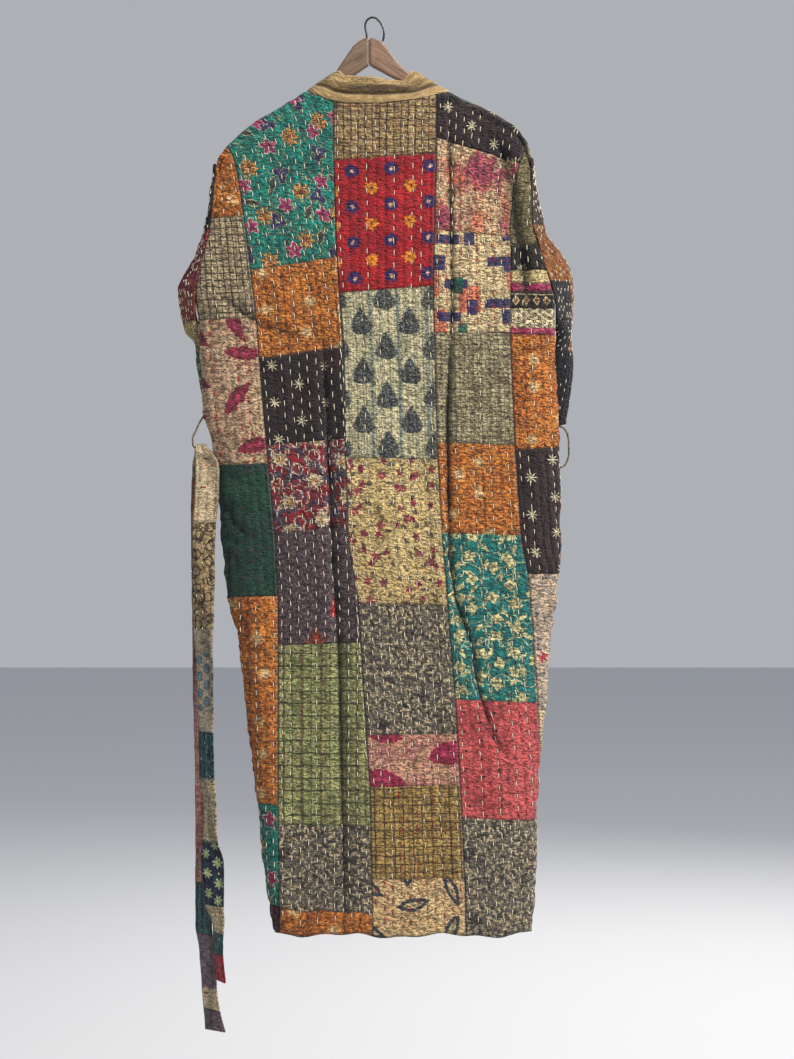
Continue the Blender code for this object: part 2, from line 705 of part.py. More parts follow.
def make_loop(side, outline):
    """Build a belt loop: a narrow strip standing off the side seam."""
    line = np.array(outline, float)
    centre = grid(line[:, 0], np.zeros(len(line)), line[:, 1])
    course = unit(np.gradient(centre, axis=0))
    half = np.tile((0.0, LOOP_WIDTH / 2, 0.0), (len(line), 1))
    normal = unit(np.cross(course, half))
    return strip(f"belt_loop_{side}", (centre, half, normal), LOOP_WALL, "loop")


def make_sash():
    """Build the sash, hung over the left belt loop, as the stretch on each side of the loop's top."""
    table = np.array(SASH, float)
    centre = grid(table[:, 1], table[:, 2], table[:, 0])
    width = np.minimum(table[:, 3], SASH_WIDTH - 0.5)
    gather = np.array([row.z > -640 for row in SASH])
    turn = np.where(gather, 0.0, np.arccos(width / SASH_WIDTH))
    length = np.where(gather, width, SASH_WIDTH) / 2
    half = grid(length * np.cos(turn), -length * np.sin(turn), np.zeros(len(table)))
    course = unit(np.gradient(centre, axis=0))
    normal = unit(np.cross(half, course))
    top = int(np.argmax(table[:, 0]))
    for name, rows, end, facing in (("near", slice(0, top + 1), -1, -1), ("far", slice(top, None), 0, 1)):
        line = centre[rows].copy()
        line[end, 1] += facing * SEAM_GAP * 0.7
        strip(f"sash_tail_{name}", (line, half[rows], normal[rows]), SASH_WALL, "sash")


def make_hanger_arm(side, outline):
    """Build half of the wooden hanger from its outline."""
    bm = bmesh.new()
    rim = [bm.verts.new((x, -WOOD_THICKNESS / 2, z)) for x, z in outline]
    face = bm.faces.new(rim)
    out = bmesh.ops.extrude_face_region(bm, geom=[face])
    moved = [item for item in out["geom"] if isinstance(item, bmesh.types.BMVert)]
    bmesh.ops.translate(bm, verts=moved, vec=(0.0, WOOD_THICKNESS, 0.0))
    arm = new_object(f"hanger_arm_{side}", bm, "wood")
    bevel = arm.modifiers.new("eased edges", "BEVEL")
    bevel.width = WOOD_BEVEL * MM
    bevel.segments = 2
    bevel.limit_method = "ANGLE"
    bevel.angle_limit = math.radians(60)
    return arm


def make_hook(arm):
    """Build the bent wire hook and the hole that its stem sits in."""
    curve = bpy.data.curves.new("hanger_hook", "CURVE")
    curve.dimensions = "3D"
    curve.bevel_depth = WIRE_DIAMETER / 2 * MM
    curve.bevel_resolution = 2
    curve.use_fill_caps = True
    line = np.array(HOOK, float)
    run = np.concatenate([[0.0], np.cumsum(np.hypot(*np.diff(line, axis=0).T))])
    stem = line[0] - (0.0, STEM_DEPTH - 1.0)
    even = np.linspace(0.0, run[-1], 28)
    bend = [(float(np.interp(a, run, line[:, 0])), float(np.interp(a, run, line[:, 1]))) for a in even]
    route = [tuple(stem)] + bend
    spline = curve.splines.new("POLY")
    spline.points.add(len(route) - 1)
    for point, (x, z) in zip(spline.points, route):
        point.co = (x * MM, 0.0, z * MM, 1.0)
    hook = bpy.data.objects.new("hanger_hook", curve)
    bpy.context.scene.collection.objects.link(hook)
    curve.materials.append(material("hanger_hook", LOOKS["wire"]))

    bm = bmesh.new()
    bmesh.ops.create_cone(
        bm, cap_ends=True, segments=16, radius1=STEM_HOLE, radius2=STEM_HOLE, depth=STEM_DEPTH * 2
    )
    bmesh.ops.translate(bm, verts=bm.verts, vec=(HOOK[0][0], 0.0, HOOK[0][1]))
    cutter = new_object("stem_hole", bm, "wire")
    cutter.hide_render = True
    cutter.display_type = "WIRE"
    drill = arm.modifiers.new("stem hole", "BOOLEAN")
    drill.operation = "DIFFERENCE"
    drill.object = cutter
    drill.solver = "EXACT"
    return hook


def main():
    """Build the robe and its hanger."""
    clear_scene()
    make_back()
    for left in (True, False):
        make_front(left)
        make_sleeve(left)
    make_neck_band()
    make_loop("left", LOOP_LEFT)
    make_loop("right", LOOP_RIGHT)
    make_sash()
    arm = make_hanger_arm("left", HANGER_LEFT)
    make_hanger_arm("right", HANGER_RIGHT)
    make_hook(arm)


if __name__ == "__main__":
    main()
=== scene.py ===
"""Quilted patchwork robe on a wooden hanger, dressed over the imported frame.

The back of the robe faces -Y and its open front +Y. Form tables are in millimetres.
"""

from __future__ import annotations

import logging
import math
import random
from collections import namedtuple
from dataclasses import dataclass
from enum import Enum

import bmesh
import bpy
import numpy as np
from mathutils import Matrix, Vector, noise


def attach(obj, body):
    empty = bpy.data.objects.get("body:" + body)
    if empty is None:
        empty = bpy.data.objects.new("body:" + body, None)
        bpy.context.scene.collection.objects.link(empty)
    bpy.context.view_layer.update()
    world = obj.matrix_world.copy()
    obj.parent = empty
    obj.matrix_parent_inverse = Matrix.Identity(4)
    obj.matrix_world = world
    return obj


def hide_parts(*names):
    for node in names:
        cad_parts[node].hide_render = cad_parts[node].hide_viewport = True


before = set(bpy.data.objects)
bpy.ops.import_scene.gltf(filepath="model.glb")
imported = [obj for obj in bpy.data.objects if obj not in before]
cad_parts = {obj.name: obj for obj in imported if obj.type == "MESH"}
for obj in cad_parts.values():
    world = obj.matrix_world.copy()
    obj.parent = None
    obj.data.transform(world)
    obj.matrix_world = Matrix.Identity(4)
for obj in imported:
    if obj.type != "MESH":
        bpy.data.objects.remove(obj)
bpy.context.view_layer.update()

log = logging.getLogger("robe")
MM = 0.001
ROW_PITCH = 12.7
STITCH_PITCH = 17.5
STITCH_LENGTH = 10.8
STITCH_TURN = 0.618034
WALL = 2.2

Color = tuple[float, float, float]

# Form of the robe, as in the solids
Section = namedtuple("Section", "z left right back front band_left band_right")
BODY = (
    Section(-213.0, -225, 231, 12, 12, -93, 113),
    Section(-214.6, -225, 231, 12, 12, -93, 113),
    Section(-219.0, -226, 232, 12, 12, -93, 113),
    Section(-225.0, -227, 232, 12, 12, -92, 112),
    Section(-246.0, -229, 233, 16, 14, -90, 110),
    Section(-306.0, -235, 234, 21, 18, -84, 104),
    Section(-342.0, -244, 245, 23, 20, -78, 99),
    Section(-371.0, -251, 254, 25, 21, -74, 95),
    Section(-400.0, -256, 264, 26, 22, -69, 90),
    Section(-425.0, -255, 268, 27, 23, -65, 85),
    Section(-444.0, -251, 268, 27, 23, -62, 81),
    Section(-499.0, -249, 268, 28, 24, -53, 73),
    Section(-560.0, -246, 272, 29, 24, -40, 71),
    Section(-640.0, -228, 274, 31, 26, -24, 69),
    Section(-770.0, -216, 276, 33, 29, -15, 75),
    Section(-838.0, -210, 270, 34, 31, -15, 75),
    Section(-908.0, -193, 262, 35, 33, -11, 79),
    Section(-995.0, -183, 254, 37, 35, -9, 81),
    Section(-1154.0, -165, 241, 40, 39, -7, 83),
    Section(-1240.0, -155, 240, 42, 41, -3, 87),
    Section(-1300.0, -147, 236, 43, 42, 0, 90),
    Section(-1334.0, -139, 232, 44, 43, 1, 91),
)
HEM = BODY[-1].z
SHOULDER_END = -225.0
SHOULDER_ROUND = 12.0
SQUARENESS = 2.8
OPENING = 13.0
NECK_REACH = 14.0
BAND_WIDTH = 38.0
FLAT_BELOW = -560.0
TIP_BELOW = -330.0
ARMHOLE_TOP = -213.0
ARMHOLE_BOTTOM = -444.0
SHOULDER_LEFT = (
    (-225, -213), (-213, -189), (-190, -167), (-167, -149), (-120, -123), (-93, -106), (-60, -83),
)
SHOULDER_RIGHT = (
    (231, -204), (226, -178), (212, -159), (181, -139), (148, -124), (113, -108), (70, -83),
)
BACK_NECKLINE = ((-93, -106), (-65, -120), (-39, -126), (13, -127), (64, -121), (113, -108))
BAND_TOP = (
    (0.00, -60, 0, -83), (0.09, -47, -11, -79), (0.19, -37, -16, -87), (0.36, -15, -19, -89),
    (0.50, 4, -20, -90),
    (0.65, 24, -19, -93), (0.80, 43, -17, -95), (0.90, 54, -14, -86), (0.96, 61, -10, -80),
    (1.00, 70, 0, -83),
)
# Rise of the band across its width: a flat strip at the seam, a deep crease, a loose roll
BAND_PROFILE = (
    (0.0, 0.0), (0.10, 1.2), (0.26, 1.6), (0.33, -1.4), (0.38, -1.2), (0.46, 1.0),
    (0.62, 2.2), (0.80, 1.5), (0.92, 1.8), (1.0, 0.4),
)

Fold = namedtuple("Fold", "path shift rise width fade")
LONG_PLEAT = (
    (113, -161), (117, -415), (110, -589), (113, -792), (122, -850), (144, -908), (155, -980), (180, -1053),
)
INNER_PLEAT = ((-71, -458), (-64, -618), (-55, -792), (-48, -908), (-44, -1040), (-38, -1321))
RIGHT_UNDERARM = ((184, -176), (194, -212), (206, -250), (213, -320), (228, -415))
BACK_FOLDS = (
    Fold(LONG_PLEAT, 0, -6.5, 5, 60),
    Fold(LONG_PLEAT, -14, 4.0, 12, 60),
    Fold(LONG_PLEAT, 22, 2.0, 16, 60),
    Fold(INNER_PLEAT, 0, -5.5, 5, 80),
    Fold(INNER_PLEAT, -16, 3.5, 13, 80),
    Fold(((-226, -400), (-190, -429), (-158, -451), (-103, -468)), 0, -4.5, 5, 30),
    Fold(((-226, -400), (-190, -429), (-158, -451), (-103, -468)), 12, 2.0, 8, 30),
    Fold(RIGHT_UNDERARM, 0, -7, 9, 40),
    Fold(RIGHT_UNDERARM, 17, 3.5, 11, 40),
    Fold(((-186, -520), (-178, -800), (-140, -1060), (-120, -1330)), 0, 4.5, 26, 90),
    Fold(((-150, -700), (-128, -980), (-92, -1330)), 0, -4.0, 17, 120),
    Fold(((20, -560), (24, -900), (18, -1330)), 0, 3.5, 30, 160),
    Fold(((92, -900), (90, -1120), (84, -1334)), 0, -4.0, 18, 120),
    Fold(((232, -560), (226, -820), (206, -1060), (186, -1334)), 0, 4.0, 24, 100),
    Fold(((-120, -210), (-130, -330)), 0, 3.0, 36, 60),
    Fold(((-9, -219), (13, -233), (28, -255)), 0, -2.0, 3, 14),
    Fold(((206, -482), (240, -486), (262, -480)), 0, -2.2, 4, 10),
    Fold(((204, -491), (236, -495), (264, -492)), 0, -1.8, 4, 10),
    Fold(((155, -1023), (178, -1050), (201, -1081)), 0, -2.6, 4, 16),
    Fold(((140, -1134), (170, -1150), (206, -1152)), 0, -2.2, 4, 16),
    Fold(((-12, -1176), (30, -1190), (70, -1186)), 0, -2.0, 5, 20),
    Fold(((-120, -1010), (-80, -1004), (-52, -992)), 0, -1.8, 4, 14),
    Fold(((8, -852), (60, -856), (98, -850)), 0, -2.2, 5, 20),
    Fold(((-214, -700), (-196, -742), (-160, -770)), 0, -2.4, 6, 20),
    Fold(((118, -985), (150, -965), (196, -972)), 0, -2.0, 4, 16),
    Fold(((-212, -870), (-180, -884), (-150, -880)), 0, -2.2, 5, 14),
)
# Broad shade beside the deep pleats: the rise is its darkness
SHADES = (
    Fold(INNER_PLEAT, 13, -0.42, 11, 60),
    Fold(INNER_PLEAT, 5, -0.25, 5, 60),
    Fold(LONG_PLEAT, 4, -0.25, 5, 60),
    Fold(RIGHT_UNDERARM, -4, -0.50, 11, 40),
    Fold(((-158, -451), (-103, -468)), 6, -0.3, 8, 20),
)
FRONT_FOLDS = (
    Fold(((-150, -260), (-146, -600), (-120, -980), (-96, -1330)), 0, -5.0, 8, 90),
    Fold(((-150, -260), (-146, -600), (-120, -980), (-96, -1330)), 17, 3.5, 13, 90),
    Fold(((-92, -420), (-84, -700), (-62, -1000), (-48, -1334)), 0, -3.5, 14, 120),
    Fold(((-196, -640), (-170, -900), (-132, -1300)), 0, 3.5, 20, 110),
    Fold(((152, -250), (160, -560), (158, -900), (142, -1330)), 0, -5.0, 8, 90),
    Fold(((152, -250), (160, -560), (158, -900), (142, -1330)), -17, 3.5, 13, 90),
    Fold(((226, -560), (222, -880), (196, -1334)), 0, -3.5, 14, 120),
    Fold(((112, -500), (116, -900), (114, -1330)), 0, 3.0, 18, 120),
    Fold(((-190, -560), (-150, -580), (-120, -570)), 0, -2.2, 5, 16),
    Fold(((170, -700), (200, -716), (240, -706)), 0, -2.2, 5, 16),
)

Level = namedtuple("Level", "z outer_x outer_y inner_x inner_y half")
SLEEVE_LEFT = (
    Level(-215, -228.5, 0, 0, 0, 6), Level(-236, -231, 0, 0, 0, 10), Level(-272, -236, 1, 0, 0, 13),
    Level(-305, -242.5, 2, 0, 0, 14), Level(-325, -248, 4, 0, 0, 14), Level(-345, -256, 6, 0, 0, 14),
    Level(-361, -264.5, 9, 0, 0, 14), Level(-378, -274.5, 12, 0, 0, 14), Level(-394, -283.5, 15, 0, 0, 14),
    Level(-412, -281.5, 18, 0, 0, 14), Level(-429, -278.5, 21, 0, 0, 14), Level(-444, -276.5, 23, 0, 0, 13),
    Level(-457, -273.5, 26, -255, 18, 13), Level(-474, -259.0, 32, -237, 43, 14),
    Level(-499, -257, 30, -212, 58, 15),
    Level(-529, -252, 28, -186, 72, 15), Level(-560, -247, 27, -160, 80, 15),
    Level(-592, -242, 26, -138, 86, 15),
)
SLEEVE_RIGHT = (
    Level(-206, 234.5, 0, 0, 0, 6), Level(-236, 238, 0, 0, 0, 10), Level(-266, 243.5, 1, 0, 0, 13),
    Level(-292, 249.5, 2, 0, 0, 14), Level(-317, 256, 4, 0, 0, 14), Level(-331, 266, 6, 0, 0, 14),
    Level(-346, 278, 9, 0, 0, 15), Level(-370, 290.5, 12, 0, 0, 16), Level(-394, 295.5, 15, 0, 0, 16),
    Level(-412, 296, 18, 0, 0, 15), Level(-429, 295, 21, 0, 0, 14), Level(-444, 294, 23, 0, 0, 13),
    Level(-457, 293, 26, 272, 18, 13), Level(-474, 294, 28, 260, 40, 14), Level(-499, 296, 28, 236, 56, 15),
    Level(-529, 294, 28, 212, 70, 15), Level(-560, 290, 27, 190, 80, 15), Level(-592, 286, 26, 170, 86, 15),
)
CUFF_TILT = 26.0
# Cut of a sleeve all round, about twice the depth of the armhole
SLEEVE_ROUND = 464.0
ARMHOLE_GAP = 1.0
UNDERARM_GAP = 4.0

LOOP_WIDTH = 8.0
LOOP_LEFT = (
    (-244.6, -582), (-250, -590), (-256, -603), (-261, -616), (-260.2, -625),
    (-256, -628.0), (-243, -628.0), (-237, -630.5), (-232.2, -636),
)
LOOP_RIGHT = (
    (274.7, -596), (281, -599), (287, -608), (289, -622), (289, -637), (286.5, -648), (281, -655.5),
    (276.6, -657),
)
SASH_WIDTH = 37.0
SashRow = namedtuple("SashRow", "z x y width")
SASH = (
    SashRow(-1405, -219, -14, 16), SashRow(-1385, -221, -15, 15), SashRow(-1355, -223, -16, 15),
    SashRow(-1322, -222, -17, 18), SashRow(-1296, -228, -18, 28), SashRow(-1262, -230, -18, 33),
    SashRow(-1232, -231, -18, 34), SashRow(-1196, -234, -18, 22), SashRow(-1145, -234, -18, 19),
    SashRow(-1108, -239, -18, 23), SashRow(-1054, -240, -18, 22), SashRow(-1000, -241, -18, 24),
    SashRow(-950, -242, -18, 25), SashRow(-900, -244, -18, 29), SashRow(-850, -244, -19, 33),
    SashRow(-795, -244, -20, 34), SashRow(-748, -243, -21, 35), SashRow(-700, -239, -21, 36),
    SashRow(-662, -238, -20, 36), SashRow(-643, -241, -17, 31), SashRow(-632, -246, -12, 22),
    SashRow(-625.9, -248.4, -7.5, 15), SashRow(-624.0, -248.4, 0, 14), SashRow(-625.9, -248.4, 7.5, 15),
    SashRow(-634, -249, 12, 20), SashRow(-652, -249, 15, 28), SashRow(-700, -250, 16, 30),
    SashRow(-780, -251, 16, 28), SashRow(-860, -251, 15, 26), SashRow(-930, -251, 15, 24),
    SashRow(-1000, -250, 15, 24), SashRow(-1090, -248, 14, 23), SashRow(-1190, -247, 14, 23),
    SashRow(-1280, -247, 15, 24), SashRow(-1330, -246, 17, 25), SashRow(-1368, -241, 19, 24),
    SashRow(-1405, -239, 18, 23), SashRow(-1440, -236, 15, 24), SashRow(-1464, -232, 13, 27),
    SashRow(-1483, -229, 13, 30),
)


def dyed(red: int, green: int, blue: int) -> Color:
    """Turn a dye's eight-bit screen colour into a linear one."""
    return tuple(((c / 255 + 0.055) / 1.055) ** 2.4 if c > 10 else c / 3295 for c in (red, green, blue))


class Thread(Enum):
    """Colours of sewing thread."""

    WHITE = "white"
    RED = "red"
    DARK = "dark"


class Shape(Enum):
    """Outlines of the printed motifs."""

    FLOWER = "flower"
    STAR = "star"
    DROP = "drop"
    LEAF = "leaf"
    DOT = "dot"
    RING = "ring"
    DIAMOND = "diamond"
    BLOCK = "block"


@dataclass(frozen=True)
class Motif:
    """A printed figure repeated on a lattice, sizes in millimetres."""

    shape: Shape
    pitch: tuple[float, float]
    size: float
    color: Color
    offset: tuple[float, float] = (0.0, 0.0)
    stagger: float = 0.5
    petals: float = 5.0
    slim: float = 0.45
    core: float = 0.0
    eye: Color = (0.0, 0.0, 0.0)
    rim: float = 0.0
    edging: Color = (0.0, 0.0, 0.0)
    scatter: float = 0.0
    turn: float = 0.0
    wobble: float = 1.2
    dense: float = 0.95
    gaps: float = 0.0


@dataclass(frozen=True)
class Lines:
    """Parallel woven or printed lines, sizes in millimetres."""

    pitch: float
    width: float
    color: Color
    level: bool = False
    offset: float = 0.0
    dense: float = 0.9
    wobble: float = 1.2
    swell: float = 21.0


@dataclass(frozen=True)
class Blots:
    """Irregular patches of a second dye: size in millimetres and how much they cover."""

    size: float
    cover: float
    color: Color
    soft: float = 0.08
    stretch: float = 1.0
    dense: float = 0.9


Layer = Motif | Lines | Blots


def vines(pitch: float, width: float, color: Color) -> tuple[Lines, Lines]:
    """Thin winding stems both ways, sizes in millimetres."""
    stem = {"dense": 0.95, "wobble": pitch * 0.85, "swell": pitch * 0.8}
    return Lines(pitch, width, color, **stem), Lines(pitch * 1.4, width * 0.8, color, True, pitch / 3, **stem)


@dataclass(frozen=True)
class Cloth:
    """One printed or woven cotton of the patchwork."""

    ground: Color
    layers: tuple[Layer, ...] = ()
    thread: tuple[Thread, ...] = (Thread.WHITE,)
    sewn: float = 0.85
    crinkle: float = 1.0
    worn: float = 0.12
    roughness: float = 0.9


def alone(shape: Shape, u: float, v: float, size: float, color: Color, **more: float) -> Motif:
    """One single figure of a print, at a place of the cloth."""
    return Motif(shape, (1000.0, 1000.0), size, color, (500.0 - u, 500.0 - v), 0.0, **more)


CREAM = dyed(222, 200, 158)
PALE = dyed(232, 214, 172)
INK = dyed(30, 26, 32)
ORANGE = dyed(206, 118, 42)
STAR_CREAM = dyed(226, 216, 178)
CRIMSON = dyed(140, 18, 60)

ORANGE_LAYERS = (
    Blots(30, 0.40, dyed(176, 84, 26), 0.10),
    Blots(7, 0.36, dyed(150, 66, 24), 0.05, 1.6, 0.65),
    Blots(5, 0.40, dyed(232, 168, 84), 0.05, 1.4, 0.55),
    Motif(
        Shape.DOT, (50, 58), 6.0, dyed(242, 210, 156), scatter=0.45, wobble=5.0, dense=0.7, rim=3.6,
        edging=dyed(226, 168, 98),
    ),
)
CLOTHS: dict[str, Cloth] = {
    "orange_mottled": Cloth(ORANGE, ORANGE_LAYERS, (Thread.WHITE, Thread.DARK), 0.75, 1.1),
    "khaki_check": Cloth(dyed(180, 156, 108), (
        Blots(24, 0.4, dyed(160, 130, 84), 0.1),
        Lines(9.6, 2.0, dyed(84, 42, 46), wobble=2.4),
        Lines(9.8, 1.8, dyed(84, 42, 46), True, dense=0.75, wobble=2.6),
    ), sewn=0.5),
    "beige_check": Cloth(dyed(200, 178, 140), (
        Blots(20, 0.4, dyed(170, 150, 116), 0.1),
        Lines(9.3, 1.9, dyed(52, 44, 44), offset=2.0, wobble=2.4),
        Lines(9.5, 1.9, dyed(52, 44, 44), True, dense=0.85, wobble=2.6),
    ), sewn=0.3),
    "mustard_check": Cloth(dyed(192, 160, 92), (
        Blots(22, 0.42, dyed(150, 116, 62), 0.1),
        Lines(14.4, 2.1, dyed(72, 46, 34), wobble=2.4),
        Lines(12.0, 1.9, dyed(72, 46, 34), True, dense=0.85, wobble=2.6),
        Lines(14.4, 1.0, dyed(110, 80, 48), offset=7.0, dense=0.7, wobble=2.0),
    ), (Thread.WHITE, Thread.RED), 0.6),
    "green_check": Cloth(dyed(166, 172, 112), (
        Blots(30, 0.4, dyed(140, 150, 92), 0.1),
        Lines(14.0, 2.0, dyed(96, 76, 50), wobble=2.4, dense=0.8),
        Lines(28.0, 2.4, dyed(104, 60, 44), offset=5.0, wobble=2.4, dense=0.8),
        Lines(18.0, 2.3, dyed(74, 66, 44), True, wobble=3.4, dense=0.95),
        Lines(18.0, 1.2, dyed(150, 104, 60), True, offset=8.0, dense=0.6, wobble=2.6),
    ), sewn=0.7),
    "teal_garden": Cloth(dyed(18, 142, 126), (
        Blots(40, 0.42, dyed(14, 112, 104), 0.12),
        *vines(46, 1.5, dyed(60, 54, 48)),
        *vines(31, 0.8, dyed(196, 178, 130)),
        Motif(
            Shape.LEAF, (41, 50), 12, dyed(46, 56, 52), slim=0.36, scatter=0.5, turn=1.0, rim=1.0,
            edging=dyed(206, 190, 146), gaps=0.25,
        ),
        Motif(
            Shape.FLOWER, (62, 71), 14.5, dyed(206, 150, 76), offset=(6, 30), petals=8, scatter=0.35,
            turn=1.0, core=0.4, eye=dyed(122, 50, 48), rim=1.2, edging=dyed(84, 52, 44), wobble=3.4,
            gaps=0.2,
        ),
        Motif(
            Shape.FLOWER, (66, 78), 13.5, dyed(30, 40, 104), offset=(38, 4), petals=3, slim=0.55,
            scatter=0.35, turn=1.0, core=0.16, eye=PALE, rim=0.8, edging=dyed(190, 170, 120), gaps=0.15,
        ),
        Motif(
            Shape.FLOWER, (57, 63), 12.0, dyed(176, 40, 104), offset=(22, 48), petals=5, scatter=0.45,
            turn=1.0, core=0.3, eye=dyed(110, 24, 70), rim=1.1, edging=dyed(230, 208, 190), wobble=2.4,
            gaps=0.3,
        ),
    ), sewn=1.0),
    "red_buti": Cloth(dyed(174, 26, 38), (
        Blots(60, 0.4, dyed(146, 18, 32), 0.15),
        Motif(
            Shape.FLOWER, (53.7, 52), 10.2, dyed(44, 34, 98), offset=(2.4, 6.3), stagger=0.08, petals=9,
            slim=0.2, core=0.2, eye=dyed(226, 180, 150), wobble=4.0, rim=0.8, edging=dyed(110, 14, 56),
        ),
        Motif(
            Shape.FLOWER, (53.7, 52), 9.8, dyed(232, 140, 40), offset=(-24.4, -18), stagger=0.08, petals=8,
            slim=0.3, core=0.26, eye=dyed(50, 18, 22), wobble=4.4, rim=0.8, edging=dyed(120, 30, 30),
        ),
    ), sewn=0.42, crinkle=0.6),
    "damask_drops": Cloth(dyed(214, 204, 162), (
        Lines(4.6, 1.4, dyed(132, 124, 96), dense=0.6, wobble=0.8),
        Lines(43.0, 5.0, dyed(78, 116, 122), offset=21.5, dense=0.8, wobble=0.8),
        Motif(
            Shape.DROP, (36, 71.8), 19.8, dyed(40, 48, 62), offset=(-12, 21.7), slim=1.16, rim=1.8,
            edging=dyed(116, 124, 116), wobble=2.6,
        ),
        Blots(3.6, 0.40, dyed(158, 158, 134), 0.04, 1.8, 0.62),
    ), sewn=0.35, crinkle=0.8),
    "cream_crimson_leaf": Cloth(dyed(216, 184, 146), (
        Blots(26, 0.4, dyed(196, 154, 120), 0.12),
        Blots(9, 0.32, dyed(150, 70, 84), 0.04, 1.2, 0.5),
        Motif(
            Shape.LEAF, (74, 60), 31, CRIMSON, offset=(10, 8), slim=0.34, scatter=0.35, turn=1.0, core=0.18,
            eye=dyed(196, 60, 96), wobble=5.0,
        ),
    ), (Thread.RED,), 0.5),
    "green_plain": Cloth(dyed(16, 68, 54), (
        Blots(60, 0.36, dyed(16, 50, 52), 0.14),
        Blots(5, 0.30, dyed(74, 60, 48), 0.04, 0.5, 0.4),
    ), sewn=0.22, crinkle=0.7),
    "black_florets": Cloth(dyed(36, 28, 34), (
        Blots(70, 0.42, dyed(52, 28, 34), 0.12),
        Motif(
            Shape.STAR, (37.7, 53.7), 8.8, STAR_CREAM, petals=8, slim=0.24, scatter=0.08, core=0.2,
            eye=dyed(120, 100, 80), wobble=0.8,
        ),
    ), sewn=0.8, crinkle=0.7),
    "black_border": Cloth(dyed(32, 26, 30), (
        Motif(
            Shape.FLOWER, (42, 40), 8.4, STAR_CREAM, offset=(4, 12), petals=7, core=0.24, eye=INK,
            scatter=0.15,
        ),
    ), sewn=0.9, crinkle=0.7),
    "block_print": Cloth(dyed(152, 28, 44), (
        Blots(17, 0.46, dyed(66, 70, 92), 0.04),
        *vines(22, 1.5, dyed(222, 202, 176)),
        *vines(14, 0.9, dyed(30, 24, 34)),
        Motif(
            Shape.FLOWER, (48, 52), 12, dyed(222, 198, 164), petals=9, slim=0.3, scatter=0.3, core=0.45,
            eye=dyed(196, 150, 90), rim=1.0, edging=INK, wobble=3.0,
        ),
        Motif(
            Shape.RING, (34, 40), 8, dyed(224, 206, 182), offset=(14, 22), slim=0.2, scatter=0.4,
            wobble=3.0, gaps=0.3,
        ),
    ), sewn=1.0),
    "mauve_speckle": Cloth(dyed(88, 70, 78), (
        Blots(6, 0.42, dyed(48, 36, 44), 0.05, 1.3),
        Blots(5, 0.34, dyed(138, 112, 114), 0.05, 1.3, 0.7),
        alone(Shape.FLOWER, 58, 914, 19, dyed(170, 66, 44), petals=13, slim=0.7),
        alone(Shape.BLOCK, 58, 905, 3, dyed(206, 74, 38), slim=5.0),
        alone(Shape.DROP, 83, 858, 17, dyed(196, 22, 34), slim=0.5),
    ), sewn=1.0),
    "ash_damask": Cloth(dyed(116, 108, 98), (
        Blots(12, 0.44, dyed(58, 52, 52), 0.05, 1.2),
        Blots(7.5, 0.43, dyed(222, 200, 156), 0.04, 1.2, 0.92),
        Blots(3, 0.40, dyed(56, 50, 50), 0.04, 1.2, 0.7),
        Blots(46, 0.46, dyed(104, 98, 90), 0.10, dense=0.45),
        Motif(
            Shape.FLOWER, (74, 92), 11, dyed(34, 28, 34), offset=(20, 30), petals=4, scatter=0.3, turn=0.2,
            wobble=8.0, gaps=0.3, dense=0.8,
        ),
    ), sewn=1.0, crinkle=1.1),
    "ochre_sprigs": Cloth(dyed(222, 196, 136), (
        Blots(34, 0.4, dyed(210, 178, 116), 0.12),
        Motif(
            Shape.LEAF, (19, 22), 6.4, dyed(112, 98, 78), slim=0.42, scatter=0.7, turn=1.0, wobble=3.0,
            gaps=0.3,
        ),
        Motif(
            Shape.FLOWER, (25, 29), 6.0, dyed(150, 44, 72), offset=(12, 9), petals=5, scatter=0.6, turn=1.0,
            core=0.3, eye=dyed(100, 30, 56), wobble=3.6, gaps=0.25,
        ),
        Motif(
            Shape.FLOWER, (34, 41), 7.6, dyed(166, 56, 80), offset=(5, 28), petals=6, scatter=0.5, turn=1.0,
            core=0.3, eye=dyed(206, 132, 116), wobble=4.0, gaps=0.25,
        ),
    ), sewn=0.7),
    "pink_leaf": Cloth(dyed(214, 160, 128), (
        Blots(30, 0.46, dyed(176, 92, 104), 0.14),
        Blots(5, 0.34, dyed(226, 190, 150), 0.05, 1.4, 0.6),
        Motif(
            Shape.LEAF, (96, 74), 38, dyed(164, 12, 72), offset=(22, 34), slim=0.44, scatter=0.2, turn=0.3,
            core=0.14, eye=dyed(206, 70, 110), wobble=4.0,
        ),
    ), sewn=0.8),
    "cream_teal_leaf": Cloth(dyed(226, 194, 142), (
        Blots(34, 0.4, dyed(210, 170, 118), 0.12),
        Motif(
            Shape.LEAF, (58, 62), 27, dyed(28, 54, 76), offset=(30, 8), slim=0.34, scatter=0.2, turn=0.3,
            core=0.34, eye=dyed(206, 182, 132), wobble=2.6,
        ),
    ), (Thread.RED,), 1.0),
    "cream_magenta_blots": Cloth(dyed(226, 192, 148), (
        Blots(52, 0.40, dyed(172, 40, 92), 0.05),
        Blots(44, 0.34, dyed(222, 128, 92), 0.07),
        Blots(6, 0.32, dyed(132, 74, 70), 0.04, 1.4, 0.62),
    ), (Thread.WHITE, Thread.RED), 0.7, 1.1),
    "block_bands": Cloth(dyed(224, 200, 152), (
        Motif(
            Shape.BLOCK, (62, 66), 16, dyed(222, 122, 92), offset=(30, 50), slim=1.2, wobble=1.6,
            scatter=0.4, gaps=0.2,
        ),
        Motif(
            Shape.BLOCK, (70, 52), 20, dyed(30, 38, 98), offset=(10, 4), slim=0.34, wobble=1.2, scatter=0.4,
            gaps=0.2,
        ),
        Motif(
            Shape.BLOCK, (58, 74), 8, dyed(34, 44, 104), offset=(24, 30), slim=1.4, wobble=1.2, scatter=0.5,
            gaps=0.3,
        ),
        Motif(
